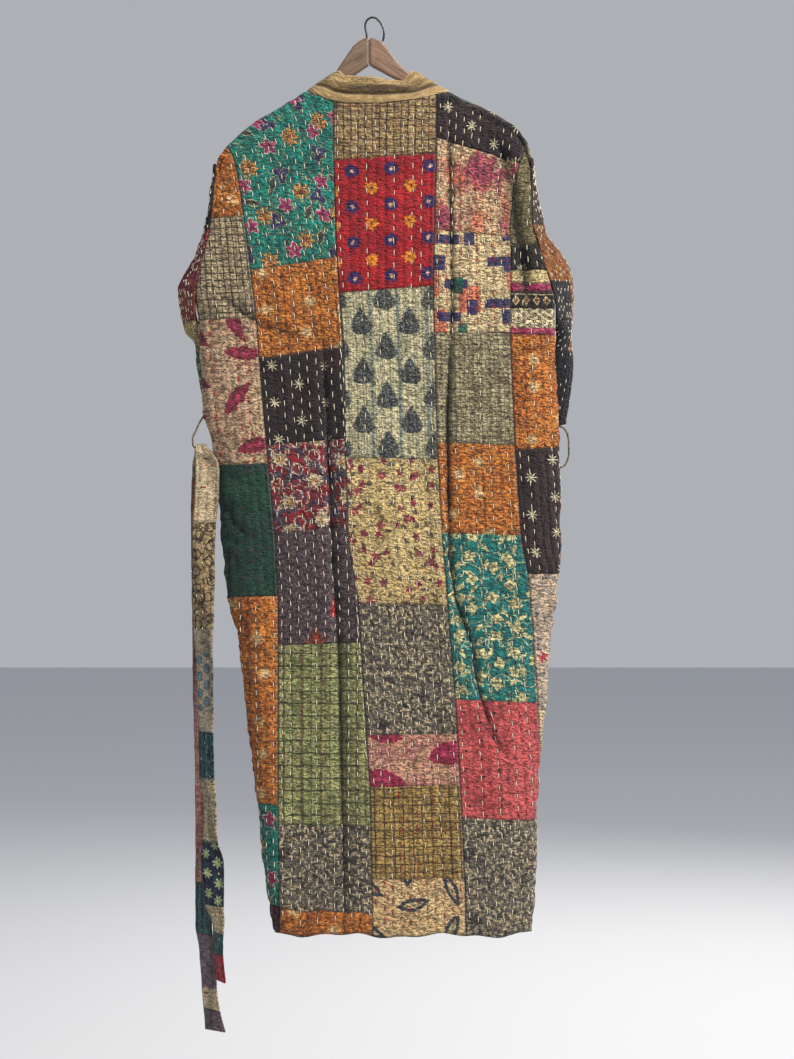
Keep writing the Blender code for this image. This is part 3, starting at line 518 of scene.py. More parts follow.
            Shape.BLOCK, (66, 80), 7, dyed(20, 104, 90), offset=(44, 12), slim=1.7, wobble=1.2, scatter=0.4,
            gaps=0.3,
        ),
        Lines(23, 1.4, dyed(176, 60, 50), True, wobble=1.6, dense=0.5),
    ), (Thread.WHITE, Thread.RED), 0.8),
    "khaki_noise": Cloth(dyed(186, 174, 136), (
        Blots(26, 0.42, dyed(152, 140, 106), 0.1),
        Lines(6.4, 1.6, dyed(98, 88, 66), wobble=4.0, dense=0.75),
        Lines(7.0, 1.6, dyed(96, 80, 62), True, wobble=4.6, dense=0.75),
    ), sewn=0.4, crinkle=1.1),
    "teal_vine": Cloth(dyed(20, 122, 118), (
        *vines(40, 2.2, dyed(220, 210, 152)),
        *vines(24, 1.0, dyed(214, 204, 150)),
        Motif(
            Shape.LEAF, (23, 26), 8.4, dyed(222, 212, 150), offset=(13, 8), slim=0.36, scatter=0.5,
            turn=1.0, wobble=2.4, gaps=0.2,
        ),
        Motif(
            Shape.FLOWER, (29, 33), 9.2, dyed(228, 218, 158), petals=4, slim=0.4, scatter=0.4, turn=1.0,
            core=0.22, eye=dyed(120, 110, 80), rim=0.8, edging=dyed(18, 70, 72), wobble=4.0, gaps=0.12,
        ),
    ), sewn=0.7),
    "coral_dots": Cloth(dyed(208, 92, 92), (
        Blots(60, 0.4, dyed(194, 76, 80), 0.14),
        Motif(Shape.DOT, (23.5, 27), 2.0, dyed(34, 24, 30), wobble=0.4, scatter=0.12),
    ), (Thread.WHITE, Thread.RED), 0.7, 0.8),
    "olive_shade": Cloth(dyed(128, 118, 80), (
        Blots(30, 0.46, dyed(92, 82, 56), 0.12),
        Blots(6, 0.36, dyed(160, 146, 104), 0.05, 1.4, 0.6),
    ), sewn=0.2),
    "cream_plain": Cloth(dyed(234, 212, 152), (Blots(24, 0.4, dyed(214, 188, 128), 0.1),), sewn=0.2),
    "crimson_plain": Cloth(dyed(156, 26, 84), (Blots(14, 0.42, dyed(190, 84, 112), 0.08),), sewn=0.3),
    "black_diamonds": Cloth(dyed(34, 26, 32), (
        Lines(21, 1.6, CREAM, True, offset=4.0),
        Motif(
            Shape.DIAMOND, (16, 21), 7.4, dyed(214, 190, 140), stagger=0.0, slim=0.8, core=0.55,
            eye=dyed(120, 60, 40), offset=(0, 16),
        ),
    ), sewn=0.2),
    "cream_lattice": Cloth(dyed(232, 214, 170), (
        Motif(Shape.DIAMOND, (8, 10), 3.6, dyed(36, 30, 36), slim=0.9, wobble=0.8),
        Motif(Shape.DOT, (8, 10), 1.1, dyed(232, 214, 170), wobble=0.3),
    ), sewn=0.2),
    "grey_rose": Cloth(dyed(214, 188, 158), (
        Blots(14, 0.42, dyed(150, 140, 134), 0.06),
        Motif(
            Shape.FLOWER, (48, 60), 9, dyed(196, 44, 72), petals=5, scatter=0.4, turn=1.0, core=0.3,
            eye=dyed(120, 30, 50), wobble=4.0, gaps=0.3,
        ),
    ), sewn=0.6),
    "cream_bars": Cloth(dyed(222, 196, 156), (
        Motif(Shape.BLOCK, (40, 30), 5, INK, slim=2.2, wobble=0.5, stagger=0.0),
    ), sewn=0.4),
    "maroon_plain": Cloth(dyed(58, 24, 40), (Blots(8, 0.4, dyed(96, 52, 62), 0.06, 1.3, 0.7),), sewn=0.8),
    "brown_shade": Cloth(dyed(84, 50, 44), (
        Blots(10, 0.42, dyed(52, 32, 34), 0.08, 1.4),
        Blots(5, 0.34, dyed(132, 92, 70), 0.05, 1.4, 0.6),
    ), sewn=0.4),
    "navy_dark": Cloth(dyed(30, 30, 46), (Blots(9, 0.4, dyed(52, 46, 60), 0.06, 1.4, 0.7),), sewn=0.5),
    "crimson_pink": Cloth(dyed(168, 44, 68), (
        Blots(10, 0.44, dyed(210, 120, 124), 0.06, 1.6),
        Blots(6, 0.34, dyed(120, 24, 52), 0.05, 1.4),
    ), sewn=0.6),
    "coral_rust": Cloth(dyed(190, 92, 62), (Blots(12, 0.44, dyed(150, 60, 48), 0.08),), sewn=0.6),
    "sash_cream": Cloth(dyed(228, 206, 168), (
        Blots(22, 0.38, dyed(206, 176, 134), 0.1),
        Motif(Shape.BLOCK, (30, 46), 4.5, dyed(150, 60, 50), slim=0.3, wobble=1.0, scatter=0.5, gaps=0.3),
    ), (Thread.RED,), 0.6, 0.5),
    "sash_block": Cloth(dyed(200, 172, 124), (
        *vines(13, 1.5, dyed(56, 42, 40)),
        Blots(9, 0.36, dyed(64, 46, 42), 0.05),
        Motif(Shape.RING, (20, 26), 6.5, dyed(58, 42, 40), slim=0.3, scatter=0.3, wobble=2.0),
    ), sewn=0.3, crinkle=0.5),
    "sash_greige": Cloth(
        dyed(188, 172, 146), (Blots(14, 0.4, dyed(160, 142, 118), 0.1),), sewn=0.3, crinkle=0.5,
    ),
    "sash_circles": Cloth(dyed(190, 174, 148), (
        Motif(Shape.DOT, (17, 24), 6.0, dyed(108, 146, 158), rim=1.1, edging=dyed(44, 48, 60), wobble=0.8),
    ), sewn=0.3, crinkle=0.5),
    "sash_teal": Cloth(dyed(22, 76, 80), (
        Blots(12, 0.42, dyed(28, 38, 52), 0.06),
        *vines(15, 1.2, dyed(66, 140, 130)),
    ), sewn=0.3, crinkle=0.5),
    "sash_lattice": Cloth(dyed(214, 194, 150), (
        *vines(7, 0.8, dyed(60, 50, 46)),
        *vines(4.6, 0.6, dyed(70, 58, 50)),
    ), sewn=0.3, crinkle=0.5),
    "sash_daisies": Cloth(dyed(30, 32, 62), (
        Blots(16, 0.36, dyed(24, 66, 76), 0.06),
        Motif(
            Shape.FLOWER, (19, 27), 8.4, dyed(168, 190, 142), petals=7, slim=0.5, scatter=0.2, core=0.3,
            eye=dyed(222, 186, 70), turn=1.0,
        ),
    ), sewn=0.3, crinkle=0.5),
    "sash_red": Cloth(dyed(176, 24, 46), (Blots(8, 0.4, dyed(126, 18, 44), 0.08),), sewn=0.3, crinkle=0.5),
    "sash_pink": Cloth(dyed(204, 150, 132), (
        Blots(12, 0.44, dyed(168, 92, 92), 0.1),
        Lines(12, 1.6, dyed(150, 60, 66), True, wobble=2.0, dense=0.7),
    ), sewn=0.3, crinkle=0.5),
    "sash_mauve": Cloth(dyed(128, 108, 116), (Blots(8, 0.4, dyed(92, 74, 84), 0.06),), sewn=0.4, crinkle=0.6),
    "loop_olive": Cloth(
        dyed(150, 134, 92), (Blots(8, 0.42, dyed(110, 96, 64), 0.08),), sewn=0.0, crinkle=0.3,
    ),
}


class Field:
    """A number or colour that varies over a surface, with Python's own operators."""

    def __init__(self, bath: DyeBath, socket: bpy.types.NodeSocket) -> None:
        """Wrap one output socket of a material's nodes."""
        self.bath = bath
        self.socket = socket

    def __add__(self, other: Field | float) -> Field:
        """Add a number or field."""
        return self.bath.math("ADD", self, other)

    __radd__ = __add__

    def __sub__(self, other: Field | float) -> Field:
        """Take a number or field away."""
        return self.bath.math("SUBTRACT", self, other)

    def __rsub__(self, other: Field | float) -> Field:
        """Take the field away from a number."""
        return self.bath.math("SUBTRACT", other, self)

    def __mul__(self, other: Field | float) -> Field:
        """Multiply by a number or field."""
        return self.bath.math("MULTIPLY", self, other)

    __rmul__ = __mul__

    def __truediv__(self, other: Field | float) -> Field:
        """Divide by a number or field."""
        return self.bath.math("DIVIDE", self, other)

    def __rtruediv__(self, other: Field | float) -> Field:
        """Divide a number by the field."""
        return self.bath.math("DIVIDE", other, self)

    def __abs__(self) -> Field:
        """Size without sign."""
        return self.bath.math("ABSOLUTE", self)

    def floor(self) -> Field:
        """Round down."""
        return self.bath.math("FLOOR", self)

    def fract(self) -> Field:
        """Part after the decimal point."""
        return self.bath.math("FRACT", self)

    def ramp(self, low: float, high: float) -> Field:
        """Rise from 0 at low to 1 at high, held outside.

        Args:
            low: value that gives 0.
            high: value that gives 1.

        Returns:
            The held share.
        """
        node = self.bath.node("ShaderNodeMapRange", {"clamp": True}, {0: self, 1: low, 2: high})
        return Field(self.bath, node.outputs[0])


class DyeBath:
    """One material, its nodes written as expressions."""

    def __init__(self, name: str) -> None:
        """Start a material with its shader.

        Args:
            name: the material's name.
        """
        self.material = bpy.data.materials.new(name)
        self.material.use_nodes = True
        self.tree = self.material.node_tree
        self.shader = self.tree.nodes["Principled BSDF"]

    def node(self, kind: str, settings: dict, sockets: dict) -> bpy.types.Node:
        """Add one node.

        Args:
            kind: the node's type.
            settings: its properties, set first.
            sockets: values or fields of its inputs, by name or number.

        Returns:
            The node.
        """
        made = self.tree.nodes.new(kind)
        for key, value in settings.items():
            setattr(made, key, value)
        for key, value in sockets.items():
            self.feed(made.inputs[key], value)
        return made

    def feed(self, socket: bpy.types.NodeSocket, value: Field | float | Color) -> None:
        """Give a socket a field or a constant."""
        if isinstance(value, Field):
            self.tree.links.new(value.socket, socket)
        elif isinstance(value, tuple) and len(value) == 3 and socket.type == "RGBA":
            socket.default_value = (*value, 1.0)
        else:
            socket.default_value = value

    def math(self, operation: str, *values: Field | float) -> Field:
        """Work out one operation on numbers."""
        node = self.node("ShaderNodeMath", {"operation": operation}, dict(enumerate(values)))
        return Field(self, node.outputs[0])

    def mix(self, share: Field | float, low: Field | Color, high: Field | Color) -> Field:
        """Mix two colours by a share of the second."""
        node = self.node("ShaderNodeMix", {"data_type": "RGBA"}, {0: share, 6: low, 7: high})
        return Field(self, node.outputs[2])

    def tint(self, color: Field | Color, share: Field) -> Field:
        """Darken or lighten a colour by a factor that varies."""
        grey = self.node("ShaderNodeCombineColor", {}, {0: share, 1: share, 2: share})
        node = self.node(
            "ShaderNodeMix", {"data_type": "RGBA", "blend_type": "MULTIPLY"},
            {0: 1.0, 6: color, 7: Field(self, grey.outputs[0])},
        )
        return Field(self, node.outputs[2])

    def vector(self, x: Field | float, y: Field | float, z: Field | float = 0.0) -> Field:
        """Join three numbers."""
        return Field(self, self.node("ShaderNodeCombineXYZ", {}, {0: x, 1: y, 2: z}).outputs[0])

    def split(self, vector: Field) -> tuple[Field, Field, Field]:
        """Part a vector into its three numbers."""
        node = self.node("ShaderNodeSeparateXYZ", {}, {0: vector})
        return tuple(Field(self, node.outputs[k]) for k in range(3))

    def noise(
        self, x: Field | float, y: Field | float, z: Field | float, detail: float = 2.0, rough: float = 0.5,
    ) -> Field:
        """Smooth noise, one swell to a unit, around 0.5."""
        node = self.node(
            "ShaderNodeTexNoise", {"noise_dimensions": "3D"},
            {"Vector": self.vector(x, y, z), "Scale": 1.0, "Detail": detail, "Roughness": rough},
        )
        return Field(self, node.outputs["Fac"])

    def chance(self, vector: Field) -> tuple[Field, Field, Field]:
        """Three even random numbers for each whole-numbered cell."""
        node = self.node("ShaderNodeTexWhiteNoise", {"noise_dimensions": "3D"}, {"Vector": vector})
        return self.split(Field(self, node.outputs["Color"]))

    def attribute(self, name: str) -> tuple[Field, Field, Field]:
        """Read a piece's own vector attribute."""
        node = self.node("ShaderNodeAttribute", {"attribute_name": name}, {})
        return self.split(Field(self, node.outputs["Vector"]))

    def place(self) -> Field:
        """Give each point's place in its piece's own space."""
        return Field(self, self.node("ShaderNodeTexCoord", {}, {}).outputs["Object"])

    def look(self, inputs: dict[str, Field | float | Color]) -> None:
        """Feed the shader's inputs by name."""
        for name, value in inputs.items():
            self.feed(self.shader.inputs[name], value)

    def bump(self, height: Field, depth_mm: float) -> None:
        """Feed a height to the shader's normal."""
        node = self.node("ShaderNodeBump", {}, {"Strength": 1.0, "Distance": depth_mm * MM, "Height": height})
        self.tree.links.new(node.outputs[0], self.shader.inputs["Normal"])


class ClothDyer:
    """Makes the material of each cotton once."""

    def __init__(self) -> None:
        """Start with no materials."""
        self.made: dict[str, bpy.types.Material] = {}

    def material(self, name: str) -> bpy.types.Material:
        """Give the material of a named cotton, making it when first asked.

        Args:
            name: key in CLOTHS.

        Returns:
            The material.
        """
        if name not in self.made:
            self.made[name] = self._dye(name, CLOTHS[name])
        return self.made[name]

    def _dye(self, name: str, cloth: Cloth) -> bpy.types.Material:
        """Build the nodes of one cotton, with painted light and shade over its crinkles and creases."""
        bath = DyeBath(name)
        u, v, edge = bath.attribute("cloth")
        seed = float(sum(map(ord, name)) % 97)
        color: Field | Color = cloth.ground
        for k, layer in enumerate(cloth.layers):
            color = self._lay(bath, color, layer, u, v, seed + 7.0 * k)
        slub = bath.noise(u * 0.9, v * 0.9, seed, 3.0, 0.6)
        crease = bath.noise(u * 0.10, v * 0.19, seed + 3.0, 2.0, 0.6)
        fine = bath.noise(u * 0.18, v * 0.34, seed + 9.0, 1.6, 0.55)
        row = (u / ROW_PITCH).floor()
        side = u - (row + 0.5) * ROW_PITCH
        valley = 1.0 / (side * side * 0.22 + 1.0)
        along = ((v + (row * STITCH_TURN).fract() * STITCH_PITCH) / STITCH_PITCH).fract()
        held = (0.36 - abs(along - 0.5)).ramp(0.0, 0.16)
        pucker = valley * (held * 0.65 + 0.35)
        seam = (1.0 - edge.ramp(0.2, 2.6))
        # Painted shade along the folds' troughs, read from the piece's crease attribute
        painted_trough_shade = bath.attribute("crease")[0]
        drawn = bath.noise(u * 0.034, v * 0.10, seed + 4.0, 1.6, 0.5)
        wrinkle = (1.0 - abs(drawn - 0.5).ramp(0.0, 0.045)) * crease.ramp(0.62, 0.42)
        pinched = bath.noise(u * 0.072, v * 0.165, seed + 6.0, 1.6, 0.55)
        pinch = (1.0 - abs(pinched - 0.5).ramp(0.0, 0.06)) * fine.ramp(0.64, 0.44)
        wrinkle = bath.math("MAXIMUM", wrinkle, pinch)
        lift = crease * 1.5 + fine * 1.3
        relief = lift * (1.5 * cloth.crinkle) - wrinkle * (0.95 * cloth.crinkle)
        relief = relief - pucker * 0.75 - seam * 0.9 + slub * 0.14
        # Painted light and shade: lighter on the crinkles' tops; darker in the crevices of wrinkles, puckers
        # and seams, along the troughs and in broad soft swells
        painted_broad_shade = bath.noise(u * 0.022, v * 0.02, seed + 8.0, 2.0, 0.5)
        painted_crevice_shade = (1.38 - lift + wrinkle * 0.85) * cloth.crinkle + pucker * 0.26 + seam * 0.5
        shade = (1.16 - painted_crevice_shade.ramp(-0.2, 1.0) * 0.86) * (1.0 - painted_trough_shade * 0.85) * (painted_broad_shade * 0.5 + 0.77)
        bleached = bath.mix(slub.ramp(0.5, 0.95) * cloth.worn, color, CREAM)
        tone = bath.tint(bleached, shade * (slub * 0.4 + 0.78))
        inputs = {"Roughness": cloth.roughness, "Specular IOR Level": 0.25, "Sheen Weight": 0.15}
        bath.look({"Base Color": tone, **inputs})
        bath.bump(relief, 3.6)
        return bath.material

    def _lay(
        self, bath: DyeBath, color: Field | Color, layer: Layer, u: Field, v: Field, seed: float,
    ) -> Field:
        """Print one layer over the colour below.

        Args:
            bath: the material.
            color: what lies below.
            layer: a Motif, Lines or Blots.
            u: millimetres across the cloth.
            v: millimetres down the cloth.
            seed: keeps the layers' noise apart.

        Returns:
            The colour with the layer on it.
        """
        if isinstance(layer, Blots):
            grain = bath.noise(u * layer.stretch / layer.size, v / layer.size, seed, 3.0, 0.55)
            level = 0.5 + (0.5 - layer.cover) * 0.42
            share = grain.ramp(level - layer.soft, level + layer.soft) * layer.dense
            return bath.mix(share, color, layer.color)
        if isinstance(layer, Lines):
            stray = bath.noise(u / layer.swell, v / layer.swell, seed, 2.0)
            place = (v if layer.level else u) + (stray - 0.5) * (2.0 * layer.wobble) + layer.offset
            off = abs((place / layer.pitch).fract() - 0.5) * layer.pitch
            share = 1.0 - off.ramp(layer.width * 0.34, layer.width * 0.66)
            patchy = bath.noise(u / 5.0, v / 5.0, seed + 2.0, 1.0).ramp(0.25, 0.5) * 0.5 + 0.5
            return bath.mix(share * patchy * layer.dense, color, layer.color)
        return self._print(bath, color, layer, u, v, seed)

    def _print(
        self, bath: DyeBath, color: Field | Color, motif: Motif, u: Field, v: Field, seed: float,
    ) -> Field:
        """Print a repeated motif over the colour below."""
        across, down = motif.pitch
        stray_u = bath.noise(u / 6.0, v / 6.0, seed + 1.0, 1.0)
        stray_v = bath.noise(u / 6.0, v / 6.0, seed + 5.0, 1.0)
        place_u = (u + (stray_u - 0.5) * (2.0 * motif.wobble) + motif.offset[0]) / across
        column = place_u.floor()
        place_v = (v + (stray_v - 0.5) * (2.0 * motif.wobble) + motif.offset[1]) / down
        place_v = place_v + column * motif.stagger
        row = place_v.floor()
        x = (place_u.fract() - 0.5) * across
        y = (place_v.fract() - 0.5) * down
        one, two, three = bath.chance(bath.vector(column, row, seed))
        if motif.scatter:
            x = x - (one - 0.5) * (motif.scatter * across)
            y = y - (two - 0.5) * (motif.scatter * down)
        if motif.turn:
            angle = (one + two) * (math.tau * motif.turn)
            cosine = bath.math("COSINE", angle)
            sine = bath.math("SINE", angle)
            x, y = x * cosine - y * sine, x * sine + y * cosine
        inside = self._inside(bath, motif, x, y)
        share = (inside + 0.35).ramp(0.0, 0.7) * motif.dense
        rim = (inside + motif.rim + 0.35).ramp(0.0, 0.7) * motif.dense
        if motif.gaps:
            there = (three - motif.gaps).ramp(0.0, 0.01)
            share = share * there
            rim = rim * there
        if motif.rim:
            color = bath.mix(rim, color, motif.edging)
        color = bath.mix(share, color, motif.color)
        if motif.core:
            centre = (inside - motif.size * (1.0 - motif.core) * motif_depth(motif)).ramp(-0.35, 0.35)
            color = bath.mix(centre * share, color, motif.eye)
        return color

    def _inside(self, bath: DyeBath, motif: Motif, x: Field, y: Field) -> Field:
        """Depth inside the motif's outline in millimetres, below 0 outside it."""
        if motif.shape is Shape.BLOCK:
            return bath.math("MINIMUM", motif.size - abs(x), motif.size * motif.slim - abs(y))
        if motif.shape is Shape.DIAMOND:
            return motif.size - (abs(x) / motif.slim + abs(y))
        if motif.shape in (Shape.LEAF, Shape.DROP):
            t = y / motif.size
            body = (1.0 - t * t).ramp(0.0, 1.0)
            if motif.shape is Shape.DROP:
                width = bath.math("SQRT", body) * (t * 0.46 + 0.54) * (motif.size * motif.slim)
            else:
                width = body * (motif.size * motif.slim)
            return width - abs(x) - (abs(t) - 1.0).ramp(0.0, 0.05) * 4.0
        radius = bath.math("SQRT", x * x + y * y)
        if motif.shape is Shape.DOT:
            return motif.size - radius
        if motif.shape is Shape.RING:
            return motif.size * motif.slim * 0.5 - abs(radius - motif.size)
        petal = bath.math("COSINE", bath.math("ARCTAN2", y, x) * motif.petals)
        if motif.shape is Shape.STAR:
            sharp = bath.math("POWER", petal * 0.5 + 0.5, 2.0)
            return (sharp * (1.0 - motif.slim) + motif.slim) * motif.size - radius
        return (petal * (0.5 * motif.slim) + (1.0 - 0.5 * motif.slim)) * motif.size - radius


def motif_depth(motif: Motif) -> float:
    """Greatest depth inside a motif as a share of its size."""
    if motif.shape in (Shape.LEAF, Shape.DROP):
        return motif.slim * 0.9
    return 0.8 if motif.shape is Shape.FLOWER else 0.9


def smooth(low: float, high: float, value: np.ndarray) -> np.ndarray:
    """Return 0 below low, 1 above high and a smooth step between."""
    share = np.clip((value - low) / (high - low), 0.0, 1.0)
    return share * share * (3.0 - 2.0 * share)


def eased(keys: np.ndarray, values: np.ndarray, at: np.ndarray) -> np.ndarray:
    """Pass a smooth curve that never overshoots through points.

    Args:
        keys: rising positions.
        values: the value at each.
        at: where to read the curve.

    Returns:
        The curve's values.
    """
    slope = np.diff(values) / np.diff(keys)
    tangent = np.zeros_like(values)
    same = slope[:-1] * slope[1:] > 0
    both = np.where(same, slope[:-1] + slope[1:], 1.0)
    tangent[1:-1] = np.where(same, 2 * slope[:-1] * slope[1:] / both, 0.0)
    tangent[0] = slope[0]
    tangent[-1] = slope[-1]
    k = np.clip(np.searchsorted(keys, at) - 1, 0, len(keys) - 2)
    width = keys[k + 1] - keys[k]
    t = np.clip((at - keys[k]) / width, 0.0, 1.0)
    rise = values[k] * (1 + 2 * t) * (1 - t) ** 2 + values[k + 1] * t * t * (3 - 2 * t)
    return rise + width * (tangent[k] * t * (1 - t) ** 2 + tangent[k + 1] * t * t * (t - 1))


def section_column(name: str, at: np.ndarray) -> np.ndarray:
    """Read one named column of the body's sections at heights."""
    rows = BODY[::-1]
    keys = np.array([row.z for row in rows], float)
    return eased(keys, np.array([getattr(row, name) for row in rows], float), at)


def unit(vectors: np.ndarray) -> np.ndarray:
    """Scale vectors to length one."""
    return vectors / np.maximum(np.linalg.norm(vectors, axis=-1, keepdims=True), 1e-9)


def painted_crease_shade(folds: tuple[Fold, ...], x: np.ndarray, z: np.ndarray) -> np.ndarray:
    """Painted shade, 0 to 1, in the sharp troughs and, on the back, in the bands beside the deep pleats, at
    points of the cloth.
    """
    sharp = tuple(
        fold._replace(rise=fold.rise / 4.8, width=max(2.2, fold.width * 0.36))
        for fold in folds
        if fold.rise < -1.5 and fold.width < 10
    )
    return np.clip(-fold_rise(sharp + (SHADES if folds is BACK_FOLDS else ()), x, z), 0.0, 1.0)


def fold_rise(folds: tuple[Fold, ...], x: np.ndarray, z: np.ndarray) -> np.ndarray:
    """Sum the rises of all folds at points of the cloth, seen flat."""
    total = np.zeros_like(x)
    for fold in folds:
        path = np.array(fold.path, float)
        steps = np.diff(path, axis=0)
        lengths = np.hypot(steps[:, 0], steps[:, 1])
        starts = np.concatenate([[0.0], np.cumsum(lengths)])
        nearest = np.full(x.shape, 1e9)
        side = np.zeros_like(x)
        along = np.zeros_like(x)
        for start, step, length, begun in zip(path[:-1], steps, lengths, starts):
            way = step / length
            dx = x - start[0]
            dz = z - start[1]
            run = dx * way[0] + dz * way[1]
            held = np.clip(run, 0.0, length)
            away = np.hypot(dx - held * way[0], dz - held * way[1])
            closer = away < nearest
            nearest = np.where(closer, away, nearest)
            side = np.where(closer, np.sign(way[0] * dz - way[1] * dx) * away, side)
            along = np.where(closer, begun + run, along)
        begins = smooth(-fold.fade / 2, fold.fade, along)
        window = begins * smooth(-fold.fade / 2, fold.fade, starts[-1] - along)
        total += fold.rise * window * np.exp(-(((side - fold.shift) / fold.width) ** 2))
    return total


class Half:
    """Middle surface of the back or of both fronts as one dense grid."""

    COLUMNS = 321

    def __init__(self, front: bool) -> None:
        """Work the surface out from the sections.

        Args:
            front: True for the side with the opening.
        """
        self.front = front
        shoulder = np.linspace(ARMHOLE_TOP, SHOULDER_END, 9)
        self.levels = np.concatenate([shoulder, np.linspace(SHOULDER_END - 4.0, HEM, 340)])
        self.points = self._points()
        across = np.gradient(self.points, axis=1)
        down = np.gradient(self.points, axis=0)
        normal = unit(np.cross(across, down))
        if (normal[..., 1].mean() > 0) != front:
            normal = -normal
        self.normals = self._edges(normal)
        steps = np.linalg.norm(np.diff(self.points, axis=1), axis=2)
        self.run = np.concatenate([np.zeros((len(steps), 1)), np.cumsum(steps, axis=1)], axis=1)

    def _edges(self, normal: np.ndarray) -> np.ndarray:
        """Turn the normals along the side seams and the shoulder as the solids have them."""
        facing = 1.0 if self.front else -1.0
        for side, outward in ((0, -1.0), (-1, 1.0)):
            share = smooth(-424.0, -452.0, self.levels)[:, None]
            normal[:, side] = (0.0, facing, 0.0) * (1.0 - share) + np.array((outward, 0.0, 0.0)) * share
        over = np.exp(-np.arange(len(self.levels)) / 3.0)[:, None, None]
        shoulder = np.abs(self.points[:1, :, 1:2]) < 0.5
        normal = np.where(shoulder, normal * (1 - over) + np.array((0.0, 0.0, 1.0)) * over, normal)
        return unit(normal)

    def _points(self) -> np.ndarray:
        """Work out the grid of points, row by row from the shoulder."""
        side = "front" if self.front else "back"
        left = section_column("left", self.levels)
        right = section_column("right", self.levels)
        depth_mm = section_column(side, self.levels)
        rows_x = []
        rows_deep = []
        for z, low, high, full in zip(self.levels, left, right, depth_mm):
            reach = (ARMHOLE_TOP - ARMHOLE_BOTTOM) / 2
            at = (z - (ARMHOLE_TOP + ARMHOLE_BOTTOM) / 2) / reach
            opening = OPENING * math.sqrt(max(0.0, 1.0 - at * at))
            share = min(0.95, opening / full) if z < SHOULDER_END + 1.0 else 0.95
            x, deep = self._half_section(low, high, share)
            rows_x.append(x)
            rows_deep.append(deep)
        x = np.array(rows_x)
        deep = np.array(rows_deep)
        level = self.levels[:, None] + np.zeros_like(x)
        rise = self._top(x[0]) - self.levels[0]
        slope = self._slope(x[0]) - self.levels[0]
        fade = 1.0 - smooth(0.0, SHOULDER_END - FLAT_BELOW, SHOULDER_END - level)
        tip = 1.0 - smooth(0.0, SHOULDER_END - TIP_BELOW, SHOULDER_END - level)
        z = level + slope[None, :] * fade + (rise - slope)[None, :] * tip
        drop = z[0][None, :] - z
        neck = np.zeros(self.COLUMNS)
        if not self.front:
            share = (x[0] - BACK_NECKLINE[0][0]) / (BACK_NECKLINE[-1][0] - BACK_NECKLINE[0][0])
            neck = np.sin(np.pi * np.clip(share, 0.0, 1.0)) ** 0.7
        y = depth_mm[:, None] * deep * self._arch(drop, neck[None, :])
        y = y + NECK_REACH * neck[None, :] * np.exp(-drop / 90.0)
        inside = smooth(0.0, 0.45, deep) * smooth(2.0, 26.0, drop + 30.0 * neck[None, :])
        y = y + fold_rise(FRONT_FOLDS if self.front else BACK_FOLDS, x, z) * inside
        return np.stack([x, y if self.front else -y, z], axis=-1)

    @staticmethod
    def _arch(drop: np.ndarray, neck: np.ndarray) -> np.ndarray:
        """Share of the full depth at a drop below the round shoulder fold."""
        share = np.clip(drop / SHOULDER_ROUND + neck, 0.0, 1.0)
        return np.sqrt(np.clip(1.0 - (1.0 - share) ** 2, 0.0, 1.0))

    def _half_section(self, left: float, right: float, edge: float) -> tuple[np.ndarray, np.ndarray]:
        """Points across one level, evenly along the cloth: x and share of the depth."""
        reach = (right - left) / 2
        power = 2.0 / SQUARENESS
        start = math.asin(min(0.999, edge ** (1.0 / power))) if edge > 0 else 0.0
        angle = np.linspace(start, math.pi - start, 721)
        across = -np.sign(np.cos(angle)) * np.abs(np.cos(angle)) ** power
        deep = np.abs(np.sin(angle)) ** power
        across = across * (reach / max(abs(across[0]), 1e-9))
        run = np.concatenate([[0.0], np.cumsum(np.hypot(np.diff(across), 30.0 * np.diff(deep)))])
        even = np.linspace(0.0, run[-1], self.COLUMNS)
        return (right + left) / 2 + np.interp(even, run, across), np.interp(even, run, deep)

    def _top(self, x: np.ndarray) -> np.ndarray:
        """Height of the upper edge at each x."""
        left = SHOULDER_LEFT if self.front else SHOULDER_LEFT[:-2]
        right = SHOULDER_RIGHT if self.front else SHOULDER_RIGHT[:-2]
        line = np.array(sorted(left + (() if self.front else BACK_NECKLINE) + right), float)
        return np.interp(x, line[:, 0], line[:, 1])

    def _slope(self, x: np.ndarray) -> np.ndarray:
        """Height of the straight shoulder slopes at each x."""
        ends = (SHOULDER_LEFT[0], SHOULDER_LEFT[-2], SHOULDER_RIGHT[-2], SHOULDER_RIGHT[0])
        middle = (SHOULDER_LEFT[-1], SHOULDER_RIGHT[-1]) if self.front else BACK_NECKLINE[1:-1]
        line = np.array(sorted(ends + middle), float)
        return np.interp(x, line[:, 0], line[:, 1])

    def run_at(self, line: tuple[tuple[float, float], ...]) -> np.ndarray:
        """Place a seam on the cloth.

        Args:
            line: x and z of the seam, from the top down.

        Returns:
            Distance along each row, from its left edge, where the seam crosses it.
        """
        table = np.array(line, float)[::-1]
        made = []
        for points, run in zip(self.points, self.run):
            past = points[:, 0] - np.interp(points[:, 2], table[:, 1], table[:, 0])
            k = int(np.argmax(past > 0)) if (past > 0).any() else len(past) - 1
            if k == 0:
                made.append(0.0)
                continue
            share = -past[k - 1] / max(past[k] - past[k - 1], 1e-9)
            made.append(run[k - 1] + np.clip(share, 0.0, 1.0) * (run[k] - run[k - 1]))
        return np.array(made)

